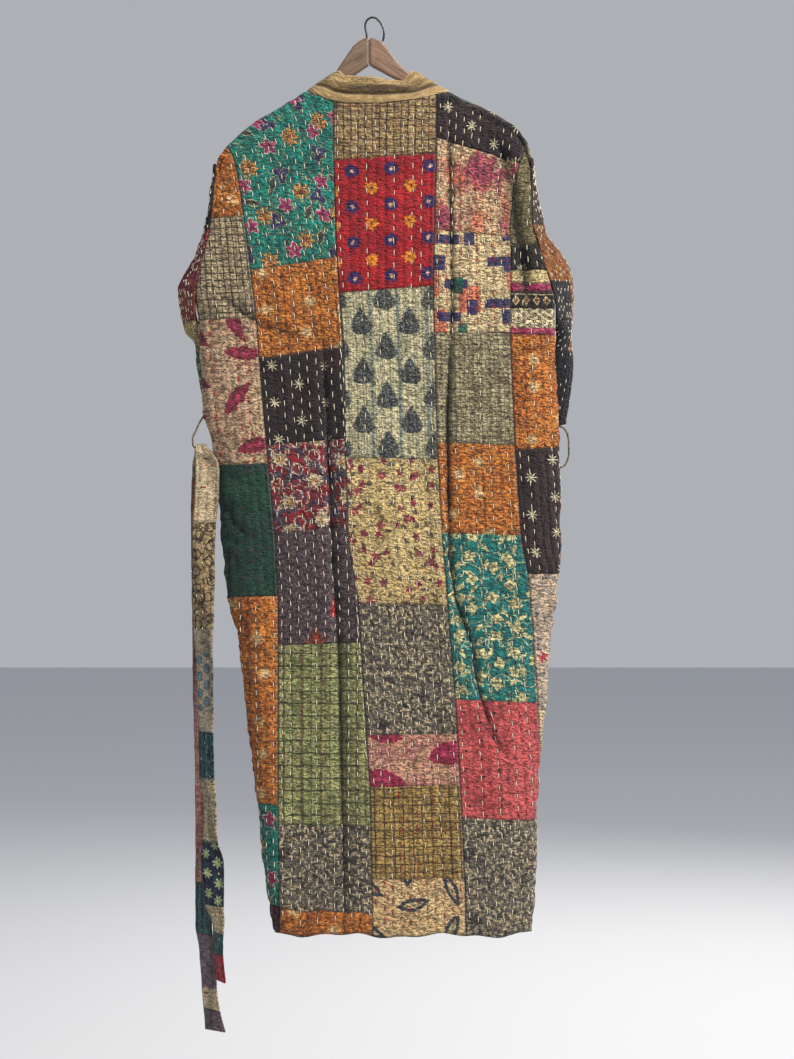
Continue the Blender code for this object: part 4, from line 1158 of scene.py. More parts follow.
    def read(self, rows: np.ndarray, runs: np.ndarray) -> tuple[np.ndarray, np.ndarray]:
        """Read points and normals at places of the cloth.

        Args:
            rows: fractional row of each place.
            runs: grid of distances along the rows.

        Returns:
            Points and unit normals, in the grid's shape.
        """
        shape = (*runs.shape, 3)
        rows = np.broadcast_to(rows, runs.shape).ravel()
        runs = runs.ravel()
        low = np.clip(np.floor(rows).astype(int), 0, len(self.levels) - 2)
        share = np.clip(rows - low, 0.0, 1.0)[:, None]
        points = np.zeros((len(rows), 3))
        normals = np.zeros((len(rows), 3))
        for r in np.unique(low):
            mask = low == r
            for row, weight in ((r, 1.0 - share[mask]), (r + 1, share[mask])):
                at = np.interp(runs[mask], self.run[row], np.arange(self.COLUMNS))
                k = np.clip(np.floor(at).astype(int), 0, self.COLUMNS - 2)
                t = (at - k)[:, None]
                points[mask] += weight * (self.points[row][k] * (1 - t) + self.points[row][k + 1] * t)
                normals[mask] += weight * (self.normals[row][k] * (1 - t) + self.normals[row][k + 1] * t)
        return points.reshape(shape), unit(normals).reshape(shape)


@dataclass(frozen=True)
class Patch:
    """One patch of a column: its cotton and the heights of its lower seam, left and right."""

    cloth: str
    left: float
    right: float


@dataclass
class Sheet:
    """A grid of points of finished cloth, before it is made a mesh."""

    name: str
    points: np.ndarray
    normals: np.ndarray
    cloth: np.ndarray
    cottons: list[str]
    kinds: np.ndarray
    closed: int | None = None
    # Painted shade, 0 to 1, that the material darkens the cloth by
    crease: np.ndarray | None = None


def add(name: str, data: bpy.types.ID) -> bpy.types.Object:
    """Put a new object in the scene."""
    made = bpy.data.objects.new(name, data)
    bpy.context.scene.collection.objects.link(made)
    return made


class Tailor:
    """Turns sheets of points into cloth pieces and sews them."""

    THICKNESS = 2.0

    def __init__(self, dyer: ClothDyer) -> None:
        """Keep the dyer.

        Args:
            dyer: makes the materials.
        """
        self.dyer = dyer
        self.threads: dict[tuple[str, Thread], bmesh.types.BMesh] = {}
        self.chance = random.Random(11)

    def make(
        self, sheet: Sheet, replaced: tuple[str, ...], slot: str, thickness: float = THICKNESS,
    ) -> bpy.types.Object:
        """Build a cloth piece from a grid.

        Args:
            sheet: the points, normals and cottons.
            replaced: the CAD nodes that it stands for.
            slot: not used.
            thickness: of the cloth, in millimetres.

        Returns:
            The piece.
        """
        rows, columns = sheet.points.shape[:2]
        bm = bmesh.new()
        layer = bm.verts.layers.float_vector.new("cloth")
        # The crease attribute carries painted shade, 0 to 1, for the material
        crease_shade_layer = bm.verts.layers.float_vector.new("crease")
        crease = np.zeros(sheet.points.shape[:2]) if sheet.crease is None else sheet.crease
        bmesh.ops.create_grid(bm, x_segments=columns - 1, y_segments=rows - 1, size=0.5)
        for vertex in bm.verts:
            i = round((vertex.co.x + 0.5) * (columns - 1))
            j = round((0.5 - vertex.co.y) * (rows - 1))
            vertex.co = sheet.points[j, i] * MM
            vertex[layer] = sheet.cloth[j, i]
            vertex[crease_shade_layer] = (crease[j, i], 0.0, 0.0)
            vertex.tag = sheet.closed is not None and j >= sheet.closed
            vertex.index = j * columns + i
        for face in bm.faces:
            j = min(vertex.index // columns for vertex in face.verts)
            i = min(vertex.index % columns for vertex in face.verts)
            face.material_index = int(sheet.kinds[j, i])
            face.smooth = True
        if sheet.closed is not None:
            sides = (0, columns - 1)
            ends = [vertex for vertex in bm.verts if vertex.tag and vertex.index % columns in sides]
            bmesh.ops.remove_doubles(bm, verts=ends, dist=0.00005)
        mesh = bpy.data.meshes.new(sheet.name)
        bm.to_mesh(mesh)
        bm.free()
        middle = len(mesh.polygons) // 2
        spot = np.array(mesh.polygons[middle].center) / MM
        flat = sheet.points.reshape(-1, 3)
        near = int(np.argmin(np.linalg.norm(flat - spot, axis=1)))
        if np.dot(mesh.polygons[middle].normal, sheet.normals.reshape(-1, 3)[near]) < 0:
            mesh.flip_normals()
        for cotton in sheet.cottons:
            mesh.materials.append(self.dyer.material(cotton))
        made = add(sheet.name, mesh)
        shell = made.modifiers.new("cloth thickness", "SOLIDIFY")
        shell.thickness = thickness * MM
        shell.offset = -1.0
        shell.use_even_offset = False
        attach(made, "root")
        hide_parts(*replaced)
        log.info("%s: %d faces", sheet.name, len(mesh.polygons))
        return made

    def stitch(
        self, zone: str, thread: Thread, point: np.ndarray, along: np.ndarray, normal: np.ndarray,
        length: float = STITCH_LENGTH,
    ) -> None:
        """Lay one stitch on the cloth.

        Args:
            zone: the garment's part that the stitch is kept with.
            thread: its colour.
            point: its middle, in millimetres.
            along: its direction.
            normal: the cloth's outward direction.
            length: its length in millimetres.
        """
        bm = self.threads.setdefault((zone, thread), bmesh.new())
        along = along / max(np.linalg.norm(along), 1e-9)
        along = along + np.cross(along, normal) * self.chance.uniform(-0.1, 0.1)
        side = np.cross(along, normal)
        side = side / max(np.linalg.norm(side), 1e-9)
        size = length * self.chance.uniform(0.82, 1.12) / 2
        place = point + side * self.chance.uniform(-0.7, 0.7) + normal * 0.3
        turn = np.column_stack([side * 0.62, along * size, normal * 0.66])
        matrix = Matrix([[*(row * MM), at * MM] for row, at in zip(turn, place)] + [[0, 0, 0, 1]])
        bmesh.ops.create_icosphere(bm, subdivisions=1, radius=1.0, matrix=matrix)

    def finish_threads(self) -> None:
        """Make the stitches into pieces.
        """
        colors = {
            Thread.WHITE: dyed(226, 218, 194),
            Thread.RED: dyed(160, 40, 48),
            Thread.DARK: dyed(74, 40, 34),
        }
        for (zone, thread), bm in self.threads.items():
            mesh = bpy.data.meshes.new(f"stitches_{zone}_{thread.value}")
            bm.to_mesh(mesh)
            bm.free()
            mesh.shade_smooth()
            mesh.materials.append(thread_material(thread, colors[thread]))
            made = add(mesh.name, mesh)
            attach(made, "root")
            log.info("%s: %d faces", mesh.name, len(mesh.polygons))


def thread_material(thread: Thread, color: Color) -> bpy.types.Material:
    """Cotton thread with its twist.

    Args:
        thread: which thread.
        color: its dye.

    Returns:
        The material.
    """
    name = f"thread_{thread.value}"
    if name in bpy.data.materials:
        return bpy.data.materials[name]
    bath = DyeBath(name)
    x, y, z = bath.split(bath.place())
    ply = bath.noise(x * 1800.0, y * 1800.0, z * 900.0, 2.0)
    soil = bath.noise(x * 30.0, y * 30.0, z * 30.0, 2.0)
    bath.look({"Base Color": bath.tint(color, ply * 0.3 + soil * 0.3 + 0.68), "Roughness": 0.85})
    bath.bump(ply, 0.2)
    return bath.material


def crumple(points: np.ndarray, size: float, seed: float) -> np.ndarray:
    """Even soft noise at points, about -0.5 to 0.5.

    Args:
        points: places in millimetres.
        size: distance between swells.
        seed: keeps different uses apart.

    Returns:
        One number for each point.
    """
    flat = points.reshape(-1, 3) / size + seed
    made = np.array([noise.noise(Vector(point)) for point in flat])
    return made.reshape(points.shape[:-1])


class PatchColumn:
    """One column of patches of the body, as a piece of its own."""

    ROW_STEP = 6.0
    FINE = 3.2
    WAVY_BELOW = 1180.0

    def __init__(
        self, half: Half, name: str, starts: np.ndarray, ends: np.ndarray, from_right: bool = False,
    ) -> None:
        """Take the column's two sides.

        Args:
            half: the surface it lies on.
            name: of the piece.
            starts: distance of its left side along each row.
            ends: distance of its right side.
            from_right: count the quilting rows from the right side.
        """
        self.half = half
        self.name = name
        self.starts = starts
        self.ends = np.maximum(ends, starts + 0.8)
        self.from_right = from_right
        self.widest = float((self.ends - self.starts).max())
        self.share = np.linspace(0.0, 1.0, max(2, round(self.widest / self.FINE)) + 1)
        rows = np.arange(len(half.levels), dtype=float)[:, None]
        runs = self.starts[:, None] + (self.ends - self.starts)[:, None] * self.share
        self.heights = half.read(rows, runs)[0][..., 2]

    def row_of(self, left: float, right: float) -> np.ndarray:
        """Find the fractional rows at which a straight seam crosses the grid's columns.

        Args:
            left: its height at the column's left side.
            right: its height at the right side.

        Returns:
            One row for each of the grid's columns.
        """
        rows = np.arange(len(self.half.levels), dtype=float)
        seam = left + (right - left) * self.share
        return np.array([np.interp(-z, -self.heights[:, k], rows) for k, z in enumerate(seam)])

    def sheet(self, patches: tuple[Patch, ...], last: float) -> Sheet:
        """Lay the patches out as a grid.

        Args:
            patches: from the top down.
            last: height at which the column ends.

        Returns:
            The grid with its cottons.
        """
        share = self.share
        columns = len(share)
        laid = [np.zeros(columns)]
        seams = [0]
        kinds: list[int] = []
        cottons = list(dict.fromkeys(patch.cloth for patch in patches))
        for patch in patches:
            first = laid[-1]
            seam = np.maximum(self.row_of(max(patch.left, last), max(patch.right, last)), first + 0.3)
            count = max(2, round(float(np.max(seam - first)) * 3.25 / self.ROW_STEP))
            laid.extend(first + (seam - first) * step for step in np.linspace(0.0, 1.0, count + 1)[1:])
            kinds.extend([cottons.index(patch.cloth)] * count)
            seams.append(len(laid) - 1)
        rows = np.array(laid)
        indexes = np.arange(len(self.half.levels))
        start = np.interp(rows, indexes, self.starts)
        end = np.interp(rows, indexes, self.ends)
        runs = start + (end - start) * share
        points, normals = self.half.read(rows, runs)
        width = end - start
        even = self.widest > 60 and width[-5:].mean() > 0.75 * self.widest
        inner = share if not self.from_right else 1.0 - share
        count = max(1, round(float(np.median(width)) / ROW_PITCH))
        u = inner * count * ROW_PITCH * np.ones_like(width) if even else inner * width
        v = -points[..., 2]
        seam_v = v[seams]
        down = np.min(np.abs(v[None] - seam_v[:, None]), axis=0)
        beside = np.minimum(share * width, (1 - share) * width)
        edge = np.minimum(down, beside)
        puff = np.abs(np.cos(np.pi * u / ROW_PITCH)) ** 0.8
        lift = WALL / 2 + 0.5 * puff * np.clip(edge / 4.0, 0.0, 1.0) - 0.5 * np.exp(-edge / 2.0)
        lift = lift + 2.8 * crumple(points, 30.0, 3.0) + 2.3 * crumple(points * (1.0, 1.0, 1.6), 13.0, 9.0)
        rim = np.minimum(smooth(0.0, 6.0, v - v[0][None]) * 0.8 + 0.2, 1.0)
        finished = points + normals * (lift * rim)[..., None]
        across = points[..., 0]
        wave = 2.6 * np.sin(across * 0.045) + 1.6 * np.sin(across * 0.11)
        finished[..., 2] -= smooth(self.WAVY_BELOW, -HEM, v) * wave
        grid_kinds = np.repeat(np.array(kinds)[:, None], columns - 1, axis=1)
        folds = FRONT_FOLDS if self.half.front else BACK_FOLDS
        # Painted shade in the folds' troughs and beside the deep pleats
        crease = painted_crease_shade(folds, points[..., 0], points[..., 2])
        cloth = np.stack([u, v, edge], axis=-1)
        return Sheet(self.name, finished, normals, cloth, cottons, grid_kinds, crease=crease)

    def sew(self, tailor: Tailor, sheet: Sheet, zone: str) -> None:
        """Quilt the column with rows of running stitches.

        Args:
            tailor: lays the stitches.
            sheet: the finished grid.
            zone: name that the stitches are kept under.
        """
        u, v = sheet.cloth[..., 0], sheet.cloth[..., 1]
        for number in range(int(u.max() // ROW_PITCH) + 1):
            target = (number + 0.5) * ROW_PITCH
            line, normal, kinds = [], [], []
            for j in range(u.shape[0]):
                row_u = u[j] if u[j, -1] > u[j, 0] else u[j][::-1]
                if not row_u[0] + 2.0 <= target <= row_u[-1] - 2.0:
                    continue
                at = np.interp(target, row_u, np.arange(u.shape[1]))
                at = at if u[j, -1] > u[j, 0] else u.shape[1] - 1 - at
                at = float(np.clip(at, 0.5, u.shape[1] - 1.5))
                k = int(at)
                t = at - k
                line.append(sheet.points[j, k] * (1 - t) + sheet.points[j, k + 1] * t)
                normal.append(sheet.normals[j, k] * (1 - t) + sheet.normals[j, k + 1] * t)
                kinds.append(int(sheet.kinds[min(j, sheet.kinds.shape[0] - 1), 0]))
            if len(line) < 4:
                continue
            self._run_stitches(tailor, np.array(line), np.array(normal), kinds, number, sheet.cottons, zone)

    def _run_stitches(
        self, tailor: Tailor, line: np.ndarray, normal: np.ndarray, kinds: list[int], number: int,
        cottons: list[str], zone: str,
    ) -> None:
        """Lay the stitches of one row."""
        drop = -line[:, 2]
        phase = (number * STITCH_TURN) % 1.0 * STITCH_PITCH
        first = math.ceil((drop[0] + phase) / STITCH_PITCH - 0.5) + 1
        last = math.floor((drop[-1] + phase) / STITCH_PITCH - 0.5)
        for count in range(first, last):
            at_v = (count + 0.5) * STITCH_PITCH - phase
            at = float(np.interp(at_v, drop, np.arange(len(drop))))
            k = min(int(at), len(drop) - 2)
            cloth = CLOTHS[cottons[kinds[k]]]
            luck = random.Random(number * 131 + kinds[k] * 17 + len(cottons[kinds[k]]))
            if luck.random() > cloth.sewn or tailor.chance.random() < 0.04:
                continue
            thread = cloth.thread[number % len(cloth.thread)]
            t = at - k
            point = line[k] * (1 - t) + line[k + 1] * t
            tailor.stitch(zone, thread, point, line[k + 1] - line[k], unit(normal[k]))


AB = (
    (-212, -186), (-201.6, -203), (-194.3, -232), (-188.5, -270), (-179.8, -335), (-175.5, -371),
    (-166.8, -444),
    (-158, -560), (-149.4, -654), (-139.2, -763), (-135, -850), (-135, -1140), (-132, -1334),
)
BC = (
    (-55, -120), (-55, -197), (-50.8, -342), (-40.6, -487), (-37.7, -632), (-33.4, -763), (-18.9, -850),
    (-11.6, -966), (-7.3, -1038), (-1.5, -1125), (1.5, -1285), (2, -1334),
)
CD = (
    (95, -110), (94.3, -197), (89.9, -393), (95.7, -632), (103, -763), (110.2, -850), (121.8, -995),
    (126.2, -1067), (132, -1183), (136.3, -1285), (137, -1334),
)
DE = (
    (229, -150), (225, -186), (216, -212), (206, -255), (201, -310), (203, -357), (201.6, -465),
    (208.8, -632),
    (217.5, -763), (227.7, -814), (240.7, -980), (247, -1082), (252, -1120), (262, -1334),
)
BACK_A = (
    Patch("orange_mottled", -294, -291), Patch("beige_check", -442, -440),
    Patch("cream_crimson_leaf", -654, -652),
    Patch("green_plain", -846, -844), Patch("orange_mottled", -1144, -1146),
    Patch("teal_garden", -1292, -1294),
    Patch("maroon_plain", -1340, -1340),
)
BACK_B = (
    Patch("teal_garden", -371, -352), Patch("orange_mottled", -499, -483), Patch("black_florets", -625, -616),
    Patch("block_print", -753, -742), Patch("mauve_speckle", -915, -911), Patch("green_check", -1174, -1176),
    Patch("ash_damask", -1295, -1304), Patch("orange_mottled", -1340, -1340),
)
BACK_C = (
    Patch("khaki_check", -211, -201), Patch("red_buti", -404, -394), Patch("damask_drops", -643, -646),
    Patch("ochre_sprigs", -854, -857), Patch("ash_damask", -1044, -1043), Patch("pink_leaf", -1119, -1117),
    Patch("mustard_check", -1251, -1253), Patch("cream_teal_leaf", -1340, -1340),
)
BACK_D = (
    Patch("black_florets", -178, -214), Patch("cream_magenta_blots", -312, -322),
    Patch("block_bands", -462, -462),
    Patch("khaki_noise", -621, -625), Patch("orange_mottled", -752, -756), Patch("teal_vine", -993, -999),
    Patch("coral_dots", -1164, -1171), Patch("ash_damask", -1340, -1340),
)
BACK_E = (
    Patch("olive_shade", -335, -330), Patch("black_border", -370, -370),
    Patch("cream_plain", -389, -389), Patch("crimson_plain", -401, -401), Patch("black_diamonds", -426, -426),
    Patch("cream_lattice", -454, -454), Patch("crimson_plain", -464, -464),
    Patch("orange_mottled", -632, -627),
    Patch("black_florets", -812, -812), Patch("grey_rose", -1010, -1010), Patch("cream_bars", -1086, -1086),
    Patch("ash_damask", -1340, -1340),
)
FRONT_LEFT_OUT = (
    Patch("beige_check", -330, -320), Patch("teal_vine", -500, -500), Patch("orange_mottled", -650, -646),
    Patch("ash_damask", -840, -838), Patch("green_check", -1010, -1012), Patch("coral_dots", -1180, -1180),
    Patch("black_florets", -1340, -1340),
)
FRONT_LEFT_IN = (
    Patch("black_florets", -270, -270), Patch("ochre_sprigs", -430, -428), Patch("green_plain", -590, -590),
    Patch("red_buti", -760, -760), Patch("khaki_check", -920, -918), Patch("mauve_speckle", -1110, -1110),
    Patch("orange_mottled", -1340, -1340),
)
FRONT_RIGHT_IN = (
    Patch("orange_mottled", -290, -290), Patch("mauve_speckle", -450, -452),
    Patch("mustard_check", -600, -600),
    Patch("teal_garden", -790, -790), Patch("ash_damask", -960, -960), Patch("red_buti", -1130, -1130),
    Patch("green_plain", -1340, -1340),
)
FRONT_RIGHT_OUT = (
    Patch("green_check", -320, -330), Patch("block_print", -490, -490), Patch("khaki_noise", -640, -640),
    Patch("coral_dots", -800, -800), Patch("black_florets", -970, -970), Patch("ochre_sprigs", -1150, -1150),
    Patch("khaki_check", -1340, -1340),
)


@dataclass
class Body:
    """The back and both fronts, sewn from columns of patches."""

    tailor: Tailor
    behind: Half
    before: Half

    def back(self) -> None:
        """Build the five columns of the back."""
        half = self.behind
        seams = [np.zeros(len(half.levels))]
        seams += [half.run_at(line) for line in (AB, BC, CD, DE)]
        seams.append(half.run[:, -1])
        for k in range(1, 5):
            seams[k] = np.minimum(np.maximum(seams[k], seams[k - 1] + 0.8), half.run[:, -1] - 0.8 * (5 - k))
        layout = (BACK_A, BACK_B, BACK_C, BACK_D, BACK_E)
        for letter, patches, start, end in zip("abcde", layout, seams[:-1], seams[1:]):
            column = PatchColumn(half, f"back_column_{letter}", start, end, letter == "a")
            self._column(column, patches, ("back_panel",), "quilt_back", "back")

    def fronts(self) -> None:
        """Build both fronts and the band that edges them."""
        half = self.before
        band = BandMaker(self.tailor, half, self.behind)
        left_seam, left_free = band.lines(True)
        right_seam, right_free = band.lines(False)
        whole = half.run[:, -1]
        names = (("out", FRONT_LEFT_OUT), ("in", FRONT_LEFT_IN))
        middle = left_seam * 0.5
        for (name, patches), start, end in zip(names, (0 * middle, middle), (middle, left_seam)):
            column = PatchColumn(half, f"front_left_{name}", start, end, name == "out")
            self._column(column, patches, ("front_panel_left",), "quilt_left", "fronts")
        middle = right_seam + (whole - right_seam) * 0.5
        names = (("in", FRONT_RIGHT_IN), ("out", FRONT_RIGHT_OUT))
        for (name, patches), start, end in zip(names, (right_seam, middle), (middle, whole)):
            column = PatchColumn(half, f"front_right_{name}", start, end)
            self._column(column, patches, ("front_panel_right",), "quilt_right", "fronts")
        band.build(left_seam, left_free, right_free, right_seam)

    def _column(
        self, column: PatchColumn, patches: tuple[Patch, ...], nodes: tuple[str, ...], slot: str, zone: str,
    ) -> None:
        """Build and sew one column."""
        sheet = column.sheet(patches, HEM)
        piece = self.tailor.make(sheet, nodes, slot)
        column.sew(self.tailor, sheet, zone)


@dataclass
class BandMaker:
    """The tan band round the neck and down both fronts."""

    tailor: Tailor
    half: Half
    behind: Half
    columns: int = 19

    def lines(self, left: bool) -> tuple[np.ndarray, np.ndarray]:
        """Find the band's seam and free edge on each row of a front.

        Args:
            left: which front.

        Returns:
            Distances along each row, of the seam and of the free edge.
        """
        half = self.half
        name = "band_left" if left else "band_right"
        seam_x = section_column(name, half.levels)
        free_top = SHOULDER_LEFT[-1][0] if left else SHOULDER_RIGHT[-1][0]
        seams, frees = [], []
        for k, z in enumerate(half.levels):
            xs = half.points[k, :, 0]
            seam = np.interp(seam_x[k], xs, half.run[k])
            top = abs(np.interp(free_top, xs, half.run[k]) - seam)
            width = BAND_WIDTH + (top - BAND_WIDTH) * max(0.0, 1.0 - (ARMHOLE_TOP - z) / 40.0)
            seams.append(seam)
            frees.append(seam + (width if left else -width))
        return np.array(seams), np.array(frees)

    def build(
        self, left_seam: np.ndarray, left_free: np.ndarray, right_free: np.ndarray, right_seam: np.ndarray,
    ) -> None:
        """Build the band's three lengths."""
        for name, seam, free in (("left", left_seam, left_free), ("right", right_seam, right_free)):
            rows = np.linspace(0, len(self.half.levels) - 1, 190)
            share = np.linspace(0.0, 1.0, self.columns)
            indexes = np.arange(len(self.half.levels))
            start = np.interp(rows, indexes, seam)[:, None]
            end = np.interp(rows, indexes, free)[:, None]
            runs = start + (end - start) * share
            points, normals = self.half.read(rows[:, None], runs)
            profile = 0.6 * np.interp(share, *np.array(BAND_PROFILE).T)[None, :]
            rise = profile * smooth(0, 60, ARMHOLE_TOP - points[..., 2])
            self._finish(f"band_front_{name}", points, normals, rise, f"collar_band_{name}", -points[..., 2])
        self._neck()

    def _neck(self) -> None:
        """Build the length that stands behind the neck."""
        share = np.linspace(0.0, 1.0, 97)
        seam_x = BACK_NECKLINE[0][0] + share * (BACK_NECKLINE[-1][0] - BACK_NECKLINE[0][0])
        row = self.behind.points[0]
        seam = np.stack([seam_x, *(np.interp(seam_x, row[:, 0], row[:, k]) for k in (1, 2))], -1)
        top = np.array(BAND_TOP)
        free = np.stack([eased(top[:, 0], top[:, k], share) for k in (1, 2, 3)], -1)
        across = np.linspace(0.0, 1.0, self.columns)
        # The seam laps a little over the back, so that nothing shows between
        seam = seam + (0.0, -1.0, -2.2) * np.sin(np.pi * share)[:, None] ** 0.5
        points = seam[None] + (free - seam)[None] * across[:, None, None]
        normals = unit(np.cross(np.gradient(points, axis=1), np.gradient(points, axis=0)))
        if normals[..., 1].mean() > 0:
            normals = -normals
        away = np.sin(np.pi * share)[None] ** 0.5
        rise = np.interp(across, *np.array(BAND_PROFILE).T)[:, None] * 1.5 * away
        x = points[..., 0]
        gathers = np.sin(x * 0.085 + across[:, None] * 9.0) + 0.7 * np.sin(x * 0.19 - across[:, None] * 5.0)
        creases = 1.2 * gathers * smooth(0.38, 0.7, across)[:, None]
        self._finish("band_neck", points, normals, rise + creases * away, "collar_band_neck", points[..., 0])

    def _finish(
        self, name: str, points: np.ndarray, normals: np.ndarray, rise: np.ndarray, node: str,
        along: np.ndarray,
    ) -> None:
        """Build one length of the band from its grid."""
        rise = rise + WALL / 2 + 0.1 + 0.9 * crumple(points, 17.0, 21.0) + 0.4 * crumple(points, 7.0, 25.0)
        rows, columns = points.shape[:2]
        upright = name == "band_neck"
        width = np.linspace(0, BAND_WIDTH, rows if upright else columns)
        across = (width[:, None] if upright else width) + np.zeros((rows, columns))
        edge = np.minimum(across, BAND_WIDTH - across)
        sheet = Sheet(
            name, points + normals * rise[..., None], normals, np.stack([across, along, edge], -1),
            ["band_velvet"], np.zeros((rows - 1, columns - 1), int),
        )
        piece = self.tailor.make(sheet, (node,), "band")


@dataclass(frozen=True)
class SleevePatch:
    """A cotton on a sleeve, down to a height, on the side seen from behind or in front."""

    cloth: str
    bottom: float


@dataclass
class Sleeve:
    """One sleeve: open to the armhole above, a tube below."""

    tailor: Tailor
    left: bool
    around: int = 96

    def build(
        self, back: Half, front: Half, behind: tuple[SleevePatch, ...], outer: tuple[SleevePatch, ...],
    ) -> None:
        """Build the sleeve and its stitches.

        Args:
            back: surface of the back.
            front: surface of the fronts.
            behind: cottons of the half seen from behind, from the top.
            outer: cottons of the outer and front half.
        """
        side = "left" if self.left else "right"
        table = SLEEVE_LEFT if self.left else SLEEVE_RIGHT
        outward = -1.0 if self.left else 1.0
        edge = 0 if self.left else -1
        back_edge = back.points[::-1, edge]
        front_edge = front.points[::-1, edge]
        keys = np.array([level.z for level in table[::-1]], float)
        heights = np.linspace(table[0].z, table[-1].z, 92)
        heights = np.unique(np.append(heights, ARMHOLE_BOTTOM))[::-1]
        shut = int(np.argmax(heights <= ARMHOLE_BOTTOM))
        named = {
            name: eased(keys, np.array([getattr(level, name) for level in table[::-1]], float), heights)
            for name in ("outer_x", "outer_y", "half")
        }
        low = [level for level in table if level.z <= ARMHOLE_BOTTOM]
        start_x = float(np.interp(ARMHOLE_BOTTOM, back_edge[:, 2], back_edge[:, 0])) + outward * UNDERARM_GAP
        low_keys = np.array([level.z for level in low[::-1]], float)
        inner_x = np.array([level.inner_x for level in low[:0:-1]] + [start_x], float)
        inner_y = np.array([level.inner_y for level in low[:0:-1]] + [0.0], float)
        turn = np.linspace(-1.0, 1.0, 1201)
        rows = []
        for k, z in enumerate(heights):
            if k < shut:
                near = float(smooth(0.0, 44.0, np.array(-400.0 - z)))
                gap = ARMHOLE_GAP + (UNDERARM_GAP - ARMHOLE_GAP) * near
                in_x = np.interp(z, back_edge[:, 2], back_edge[:, 0]) + outward * gap
                in_y = 0.0
                out = 1.0 - turn ** 2
                opening_back = -np.interp(z, back_edge[:, 2], back_edge[:, 1])
                opening_front = np.interp(z, front_edge[:, 2], front_edge[:, 1])
                opening = np.where(turn < 0, opening_back, opening_front)
                thick = turn * (opening + (max(named["half"][k], opening_back) - opening) * out)
            else:
                in_x = float(eased(low_keys, inner_x, np.array([z]))[0])
                in_y = float(eased(low_keys, inner_y, np.array([z]))[0])
                out = 0.5 + 0.5 * np.cos(np.pi * turn)
                thick = named["half"][k] * np.sin(np.pi * turn)
            x = in_x + (named["outer_x"][k] - in_x) * out
            y = in_y + (named["outer_y"][k] - in_y) * out + thick
            hang = 1.0 - float(smooth(-592.0, -474.0, np.array(z)))
            loop = np.stack([x, y, z - CUFF_TILT * hang * (1.0 - out)], -1)
            run = np.concatenate([[0.0], np.cumsum(np.linalg.norm(np.diff(loop, axis=0), axis=1))])
            even = np.linspace(0.0, run[-1], self.around + 1)
            rows.append(np.stack([np.interp(even, run, loop[:, axis]) for axis in range(3)], -1))
        points = np.array(rows)
        normals = self._normals(points, shut)
        turns = np.linspace(0.0, SLEEVE_ROUND, self.around + 1)
        u = turns[None, :] + np.zeros(points.shape[:2])
        v = -points[..., 2]
        puff = np.abs(np.cos(np.pi * u / ROW_PITCH)) ** 0.8
        rise = WALL / 2 + 0.5 * puff + 1.6 * crumple(points, 24.0, 41.0) + 0.9 * crumple(points, 10.0, 47.0)
        cottons = list(dict.fromkeys(patch.cloth for patch in behind + outer))
        kinds = np.zeros((len(heights) - 1, self.around), int)
        for j in range(len(heights) - 1):
            for i in range(self.around):
                # The half seen from behind starts at the armhole's back edge
                choice = behind if i < self.around * 0.42 else outer
                cotton = next(patch.cloth for patch in choice if heights[j + 1] >= patch.bottom - 0.01)
                kinds[j, i] = cottons.index(cotton)
        seam = np.minimum(u, SLEEVE_ROUND - u)
        for choice in (behind, outer):
            for patch in choice:
                seam = np.minimum(seam, np.abs(v + patch.bottom))
        sheet = Sheet(
            f"sleeve_shell_{side}", points + normals * rise[..., None], normals,
            np.stack([u, v, seam], -1), cottons, kinds, shut,
        )
        piece = self.tailor.make(sheet, (f"sleeve_{side}",), f"sleeve_{side}")
        self._sew(sheet)

    def _normals(self, points: np.ndarray, shut: int) -> np.ndarray:
        """Outward normals of the sleeve's grid."""
        across = np.gradient(points, axis=1)
        across[shut:, 0] = (points[shut:, 1] - points[shut:, -2]) / 2
        across[shut:, -1] = across[shut:, 0]
        normals = unit(np.cross(across, np.gradient(points, axis=0)))
        middle = self.around // 2
        outward = -1.0 if self.left else 1.0
        if np.mean(normals[5:shut, middle, 0]) * outward < 0:
            normals = -normals
        normals[:shut, 0] = (0.0, -1.0, 0.0)
        normals[:shut, -1] = (0.0, 1.0, 0.0)
        return normals

    def _sew(self, sheet: Sheet) -> None:
        """Quilt the sleeve down its length."""
        for number in range(1, 36):
            at = (number + 0.5) * ROW_PITCH / SLEEVE_ROUND * self.around
            k = int(at)
            if k >= self.around - 1:
                break
            for j in range(3 + number * 2 % 3, len(sheet.points) - 3, 3):
                cloth = CLOTHS[sheet.cottons[sheet.kinds[j, k]]]
                if (number * 7) % 10 / 10 > cloth.sewn or self.tailor.chance.random() < 0.45:
                    continue
                thread = cloth.thread[number % len(cloth.thread)]
                along = sheet.points[j + 1, k] - sheet.points[j, k]
                self.tailor.stitch("sleeves", thread, sheet.points[j, k], along, sheet.normals[j, k], 6.0)


SLEEVE_LEFT_BEHIND = (
    SleevePatch("navy_dark", -312), SleevePatch("crimson_pink", -398), SleevePatch("coral_rust", -444),
    SleevePatch("cream_plain", -478), SleevePatch("khaki_noise", -700),
)
SLEEVE_LEFT_OUTER = (
    SleevePatch("navy_dark", -300), SleevePatch("crimson_pink", -404), SleevePatch("coral_rust", -444),
    SleevePatch("cream_plain", -470), SleevePatch("teal_vine", -560), SleevePatch("orange_mottled", -700),
)
SLEEVE_RIGHT_BEHIND = (
    SleevePatch("brown_shade", -304), SleevePatch("orange_mottled", -388), SleevePatch("navy_dark", -606),
    SleevePatch("orange_mottled", -700),
)
SLEEVE_RIGHT_OUTER = (
    SleevePatch("brown_shade", -296), SleevePatch("orange_mottled", -486), SleevePatch("navy_dark", -606),
    SleevePatch("khaki_check", -700),
)


